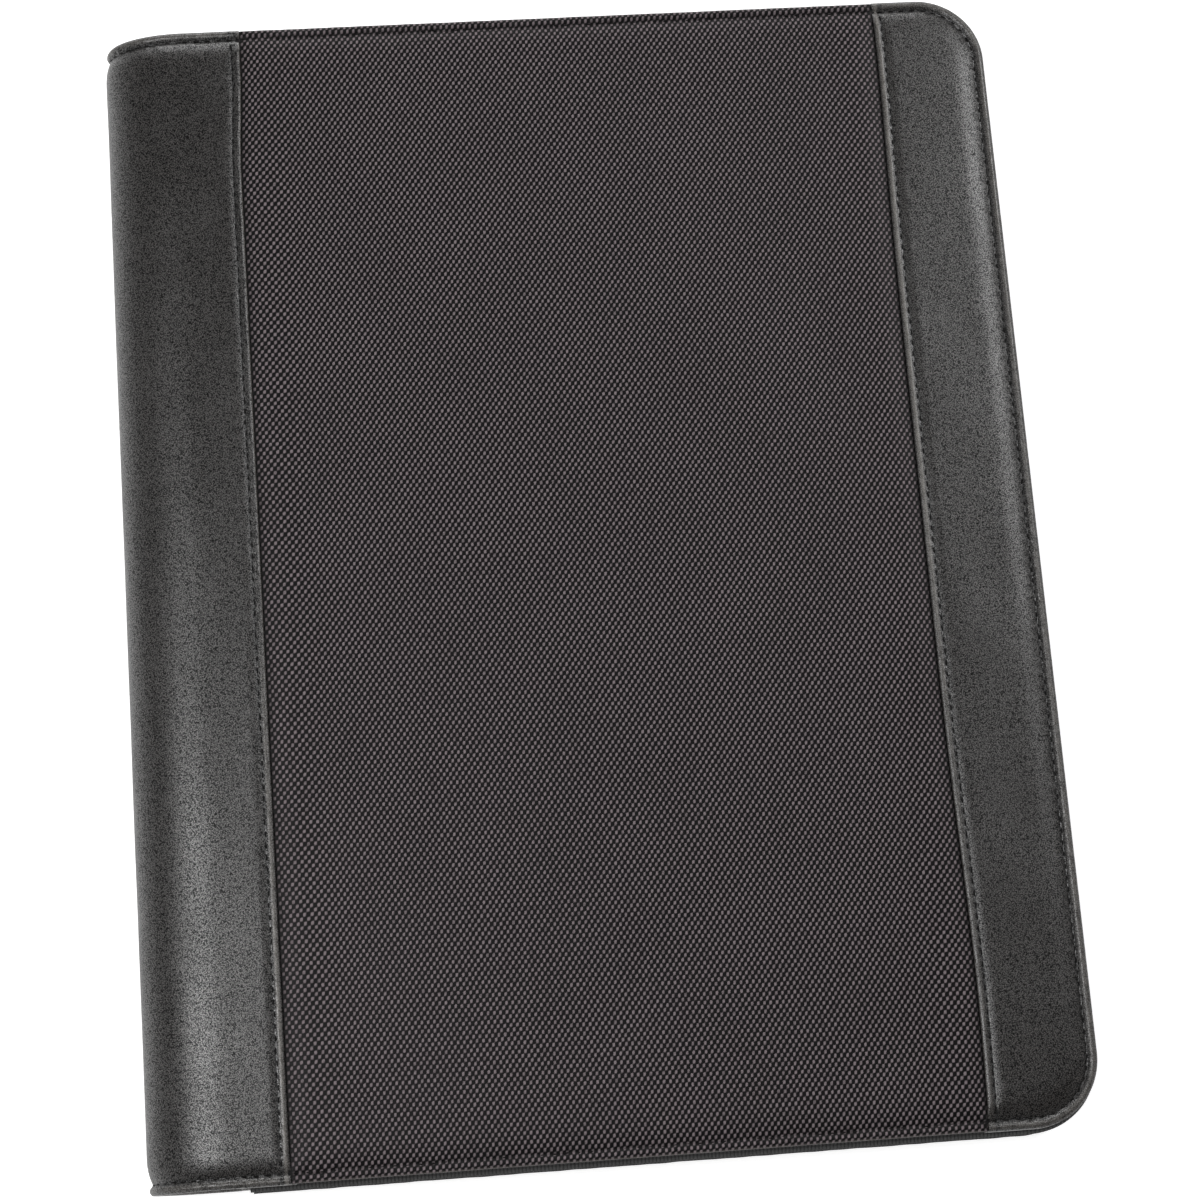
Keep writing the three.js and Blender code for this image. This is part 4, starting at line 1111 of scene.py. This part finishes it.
INSIDE_MARGIN = 19.3
INSIDE_TAIL = -HEAD + INSIDE_MARGIN
INSIDE_FORE = FORE - INSIDE_MARGIN
INSIDE_SPINE = CURVE_START + 5
POCKET_BASE = 6
POCKET_RISE = 0.6
POCKET_ROUND = 12
DOCUMENT_LENGTH = 172
DOCUMENT_SLANT = 26
DOCUMENT_MOUTH = INSIDE_TAIL + DOCUMENT_LENGTH
CARD_WIDTH = 98
CARD_HEIGHT = 56
CARD_STEP = 17
CARD_LAYER = 0.7
CARD_FORE = INSIDE_FORE - 3
CARD_LEFT = CARD_FORE - CARD_WIDTH
CARD_FOOT = DOCUMENT_MOUTH + 3
THUMB = 13.72
THUMB_DEPTH = 6


def rounded_side(y):
    """Fore side of the document pocket, with its round lower corner."""
    reach = np.clip(INSIDE_TAIL + POCKET_ROUND - y, 0, POCKET_ROUND)
    return INSIDE_FORE - POCKET_ROUND + np.sqrt(POCKET_ROUND**2 - reach**2)


def slanted_mouth(x):
    return DOCUMENT_MOUTH - DOCUMENT_SLANT * (x - INSIDE_SPINE) / (INSIDE_FORE - INSIDE_SPINE)


def notched_mouth(index):
    height = CARD_FOOT + CARD_HEIGHT + (2 - index) * CARD_STEP

    def mouth(x):
        t = np.clip((x - (CARD_LEFT + CARD_FORE) / 2 + THUMB) / (2 * THUMB), 0, 1)
        return height - 4 * THUMB_DEPTH * t * (1 - t)

    return mouth


def straight_side(x):
    return lambda y: x + 0 * y


def hem_seam(left, right, mouth, depth, count=2):
    """Stitch line along a pocket's hem."""
    return [(x, mouth(x) - POCKET_HEM + HEM_SEAM, depth + HEM_RISE) for x in np.linspace(left, right, count)]


def rim_seam(left, right, foot, top, base):
    """Stitch line down a pocket's left side, along its foot and up its right side."""
    left, right, foot, depth = left + POCKET_SEAM, right - POCKET_SEAM, foot + POCKET_SEAM, base + PINNED
    return [(left, top - 1, depth), (left, foot, depth), (right, foot, depth), (right, top - 1, depth)]


def make_pocket(node, side, cut, seams, rise=POCKET_RISE):
    """A pocket sewn on the front's or back's lining. cut is what pocket_points takes before rise."""
    back = side == "back"
    points, tone = pocket_points(*cut, rise)
    obj = grid_object(f"{node}_cloth", in_cover(points, back), points[..., :2], not back, tone)
    put(obj, f"{side}_cover", "lining", "pocket", [node])
    up = (0, 0, 1.0 if back else -1.0)
    for label, line in seams.items():
        line = in_cover(np.array(line, float), back)
        sew(f"{node}_cloth_stitches_{label}", f"{side}_cover", "lining", line, up, 0.05)


depth = POCKET_BASE + PINNED
start = (INSIDE_SPINE + POCKET_SEAM, INSIDE_TAIL + POCKET_SEAM, depth)
centre = np.array([INSIDE_FORE - POCKET_ROUND, INSIDE_TAIL + POCKET_ROUND, depth])
radius = POCKET_ROUND - POCKET_SEAM
corner = [centre + radius * np.array([sin(a), -cos(a), 0]) for a in np.linspace(0, pi / 2, 12)]
seams = {
    "spine": [(start[0], DOCUMENT_MOUTH - 1, depth), start],
    "foot": [start, *corner, (INSIDE_FORE - POCKET_SEAM, slanted_mouth(INSIDE_FORE) - 1, depth)],
    "mouth": hem_seam(INSIDE_SPINE + 2, INSIDE_FORE - 2, slanted_mouth, POCKET_BASE + POCKET_RISE),
}
cut = (INSIDE_SPINE, rounded_side, INSIDE_TAIL, slanted_mouth, POCKET_BASE, 91)
area = (INSIDE_FORE - INSIDE_SPINE) * (DOCUMENT_LENGTH - DOCUMENT_SLANT / 2)
make_pocket("document_pocket", "front", cut, seams)

for index in range(3):
    base = POCKET_BASE + index * CARD_LAYER
    mouth = notched_mouth(index)
    seams = {"mouth": hem_seam(CARD_LEFT + 2, CARD_FORE - 2, mouth, base + POCKET_RISE, 60)}
    if index == 2:
        seams["sides"] = rim_seam(CARD_LEFT, CARD_FORE, CARD_FOOT, mouth(CARD_LEFT), base)
    cut = (CARD_LEFT, straight_side(CARD_FORE), CARD_FOOT, mouth, base, 92)
    area = CARD_WIDTH * (float(mouth(CARD_LEFT)) - CARD_FOOT) - 2 * THUMB * THUMB_DEPTH * 2 / 3
    make_pocket(f"card_pocket_{index + 1}", "front", cut, seams)

# The pad's pocket lies over the pad's backing board, which lifts it inside its sewn rim
PAD_SPINE = 39.5 - FORE
PAD_FORE = FORE - 20.5
PAD_RIM = 2.2
PAD_RISE = 1.8
PAD_FOOT = 24 - HEAD - PAD_RIM
PAD_POCKET_LENGTH = 150


def pad_mouth(x):
    return PAD_FOOT + PAD_POCKET_LENGTH + 0 * x


left, right = PAD_SPINE - PAD_RIM, PAD_FORE + PAD_RIM
seams = {
    "sides": rim_seam(left, right, PAD_FOOT, pad_mouth(left), POCKET_BASE),
    "mouth": hem_seam(PAD_SPINE + 1, PAD_FORE - 1, pad_mouth, POCKET_BASE + PAD_RISE),
}
cut = (left, straight_side(right), PAD_FOOT, pad_mouth, POCKET_BASE, 95)
make_pocket("pad_pocket", "back", cut, seams, PAD_RISE)

# Pen loop: elastic that runs from its sewn tab round the pen and back under the tab
LOOP_X = INSIDE_SPINE + 3
LOOP_Z = 18
LOOP_RADIUS = 5.5
LOOP_TOP = HEAD - 62.5
LOOP_WIDTH = 26
LOOP_TAB = 13
LOOP_RETURN = [(4.6, 4.15), (6.5, 4.45), (9, 4.5), (12.5, 4.5)]
LOOP_TURN = 0.9
ELASTIC = 0.9


def loop_path():
    """Middle line of the elastic, as x and z."""
    path = [(LOOP_TAB - i * LOOP_TAB / 10, LOOP_RADIUS) for i in range(10)]
    for a in np.linspace(pi / 2, pi / 2 + 2 * pi * LOOP_TURN, 64):
        path.append((LOOP_RADIUS * cos(a), LOOP_RADIUS * sin(a)))
    return np.array(path + LOOP_RETURN) + (LOOP_X, LOOP_Z)


def elastic_section():
    """Outline of the elastic's section: places across and shares of its thickness."""
    half = LOOP_WIDTH / 2
    side = [(half - 0.4, 0.5), (half - 0.1, 0.35), (half, 0), (half - 0.1, -0.35), (half - 0.4, -0.5)]
    inner = np.linspace(half - 1.5, 1.5 - half, 14)
    section = side + [(y, -0.5) for y in inner] + [(-y, -z) for y, z in side] + [(-y, 0.5) for y in inner]
    return np.array(section + section[:1])


path, section = loop_path(), elastic_section()
shift = section[None, :, 1, None] * ELASTIC * side_direction(path, 0)[:, None]
across = np.tile(section[:, :1] + LOOP_TOP - LOOP_WIDTH / 2, (len(path), 1, 1))
points = np.concatenate([path[:, None] + shift, across], -1)
uv = np.stack(np.meshgrid(section[:, 0], distances(path)), -1)
loop = grid_object("pen_loop_elastic", points[..., [0, 2, 1]], uv)
put(loop, "front_cover", "elastic", "elastic", ["pen_loop"])
for x in (8.5, 11.5):
    line = [(LOOP_X + x, y, LOOP_Z + 4.0) for y in (LOOP_TOP - LOOP_WIDTH + 1, LOOP_TOP - 1)]
    sew(f"pen_loop_stitches_{int(x)}", "front_cover", "elastic", line, (0, 0, -1.0), 0.05)


# CAD nodes whose shape is right keep it, with their edges broken

KEPT = {
    "metal": ["slider_body", "slider_bridge", "pull_tab"]
    + [f"{c}_stop_{e}" for c in ("front", "back") for e in ("head", "tail")],
    "teeth": [f"{c}_teeth_{r}" for c in ("front", "back") for r in ("head", "fore_edge", "tail")],
    "board": ["front_board", "back_board"],
    "card": ["pad_backing_board"],
    "paper": ["pad_sheets"],
    "binding": ["pad_binding"],
}
BROKEN_EDGE = {"metal": 0.22, "teeth": 0.14, "card": 0.12, "binding": 0.1}
for look, nodes in KEPT.items():
    for node in nodes:
        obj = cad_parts[node]
        for slot in obj.material_slots:
            slot.link = "OBJECT"
            slot.material = LOOKS[look]
        if look in BROKEN_EDGE:
            bevel = obj.modifiers.new("broken_edge", "BEVEL")
            bevel.width = BROKEN_EDGE[look] * MM
            bevel.segments = 2
            bevel.limit_method = "ANGLE"
            bevel.angle_limit = radians(25)


# Floor, light and camera


def area_light(name, place, aim, size, power):
    data = bpy.data.lights.new(name, "AREA")
    data.shape = "RECTANGLE"
    data.size, data.size_y = size
    data.energy = power
    lamp = new_object(name, data)
    lamp.location = place
    lamp.rotation_euler = (Vector(aim) - Vector(place)).to_track_quat("-Z", "Y").to_euler()


def seen_white(lit, camera_glow):
    """The lit shader, with a glow that only the camera and gloss rays see."""
    path = add("LightPath", {}, lit.id_data).outputs
    through = maths("MAXIMUM", path["Is Glossy Ray"], path["Is Transmission Ray"])
    seen = maths("MAXIMUM", path["Is Camera Ray"], through)
    strength = times(seen, camera_glow)
    glow = add("Emission", {"Strength": strength})
    return add("AddShader", {0: lit, 1: glow.outputs[0]}).outputs[0]


FLOOR_REACH = 4000
FLOOR_LEVEL = -0.2
FLOOR_GLOW = 0.7
corners = [(x * FLOOR_REACH, y * FLOOR_REACH, FLOOR_LEVEL) for x, y in ((-1, -1), (1, -1), (1, 1), (-1, 1))]
floor = build("floor", corners, [[0, 1, 2, 3]])
floor_material, floor_tree = new_material("pale_floor")
paper = add("BsdfDiffuse", {"Color": (0.86, 0.86, 0.86, 1), "Roughness": 1.0}, floor_tree)
white = seen_white(paper.outputs[0], FLOOR_GLOW)
add("OutputMaterial", {"Surface": white})
floor.data.materials.append(floor_material)

world = bpy.data.worlds.new("studio")
sky = empty_tree(world)
direction = add("TexCoord", {}, sky).outputs["Generated"]
height = add("SeparateXYZ", {0: direction}).outputs[2]
level = ramp(height, 0.15, 0.85, 0.6, 0.06)
studio = add("Background", {"Color": (1, 1, 1, 1), "Strength": level})
add("OutputWorld", {"Surface": studio.outputs[0]})
bpy.context.scene.world = world

area_light("softbox_left", (-0.48, -0.14, 0.95), (-0.11, -0.1, 0), (0.44, 0.36), 5.4)
area_light("softbox_right", (0.75, 0.5, 0.9), (0.12, 0.06, 0), (0.35, 0.55), 5.6)
area_light("softbox_top", (-0.1, -0.1, 0.97), (-0.05, 0.1, 0), (0.16, 0.12), 0.6)
area_light("softbox_head", (-0.05, 1.2, 0.4), (0, 0.17, 0), (0.9, 0.35), 6)

# The camera was fitted to the photograph's seams. FOCAL is in pixels of the photograph.
FOCAL = 2758.8
PHOTO_WIDTH = 1200
SENSOR = 36
CAMERA_PLACE = (-0.058, -0.19405, 0.81235)
CAMERA_TURNS = {"X": -13.078, "Y": 4.374, "Z": 3.412}
camera_data = bpy.data.cameras.new("camera")
camera = new_object("camera", camera_data)
camera_data.sensor_width = SENSOR
camera_data.lens = SENSOR * FOCAL / PHOTO_WIDTH
camera_data.clip_end = 20
x, y, z = (Matrix.Rotation(radians(angle), 3, axis) for axis, angle in CAMERA_TURNS.items())
camera.matrix_world = Matrix.Translation(CAMERA_PLACE) @ (z @ y @ x).transposed().to_4x4()
bpy.context.scene.camera = camera
bpy.context.scene.view_settings.view_transform = "Standard"
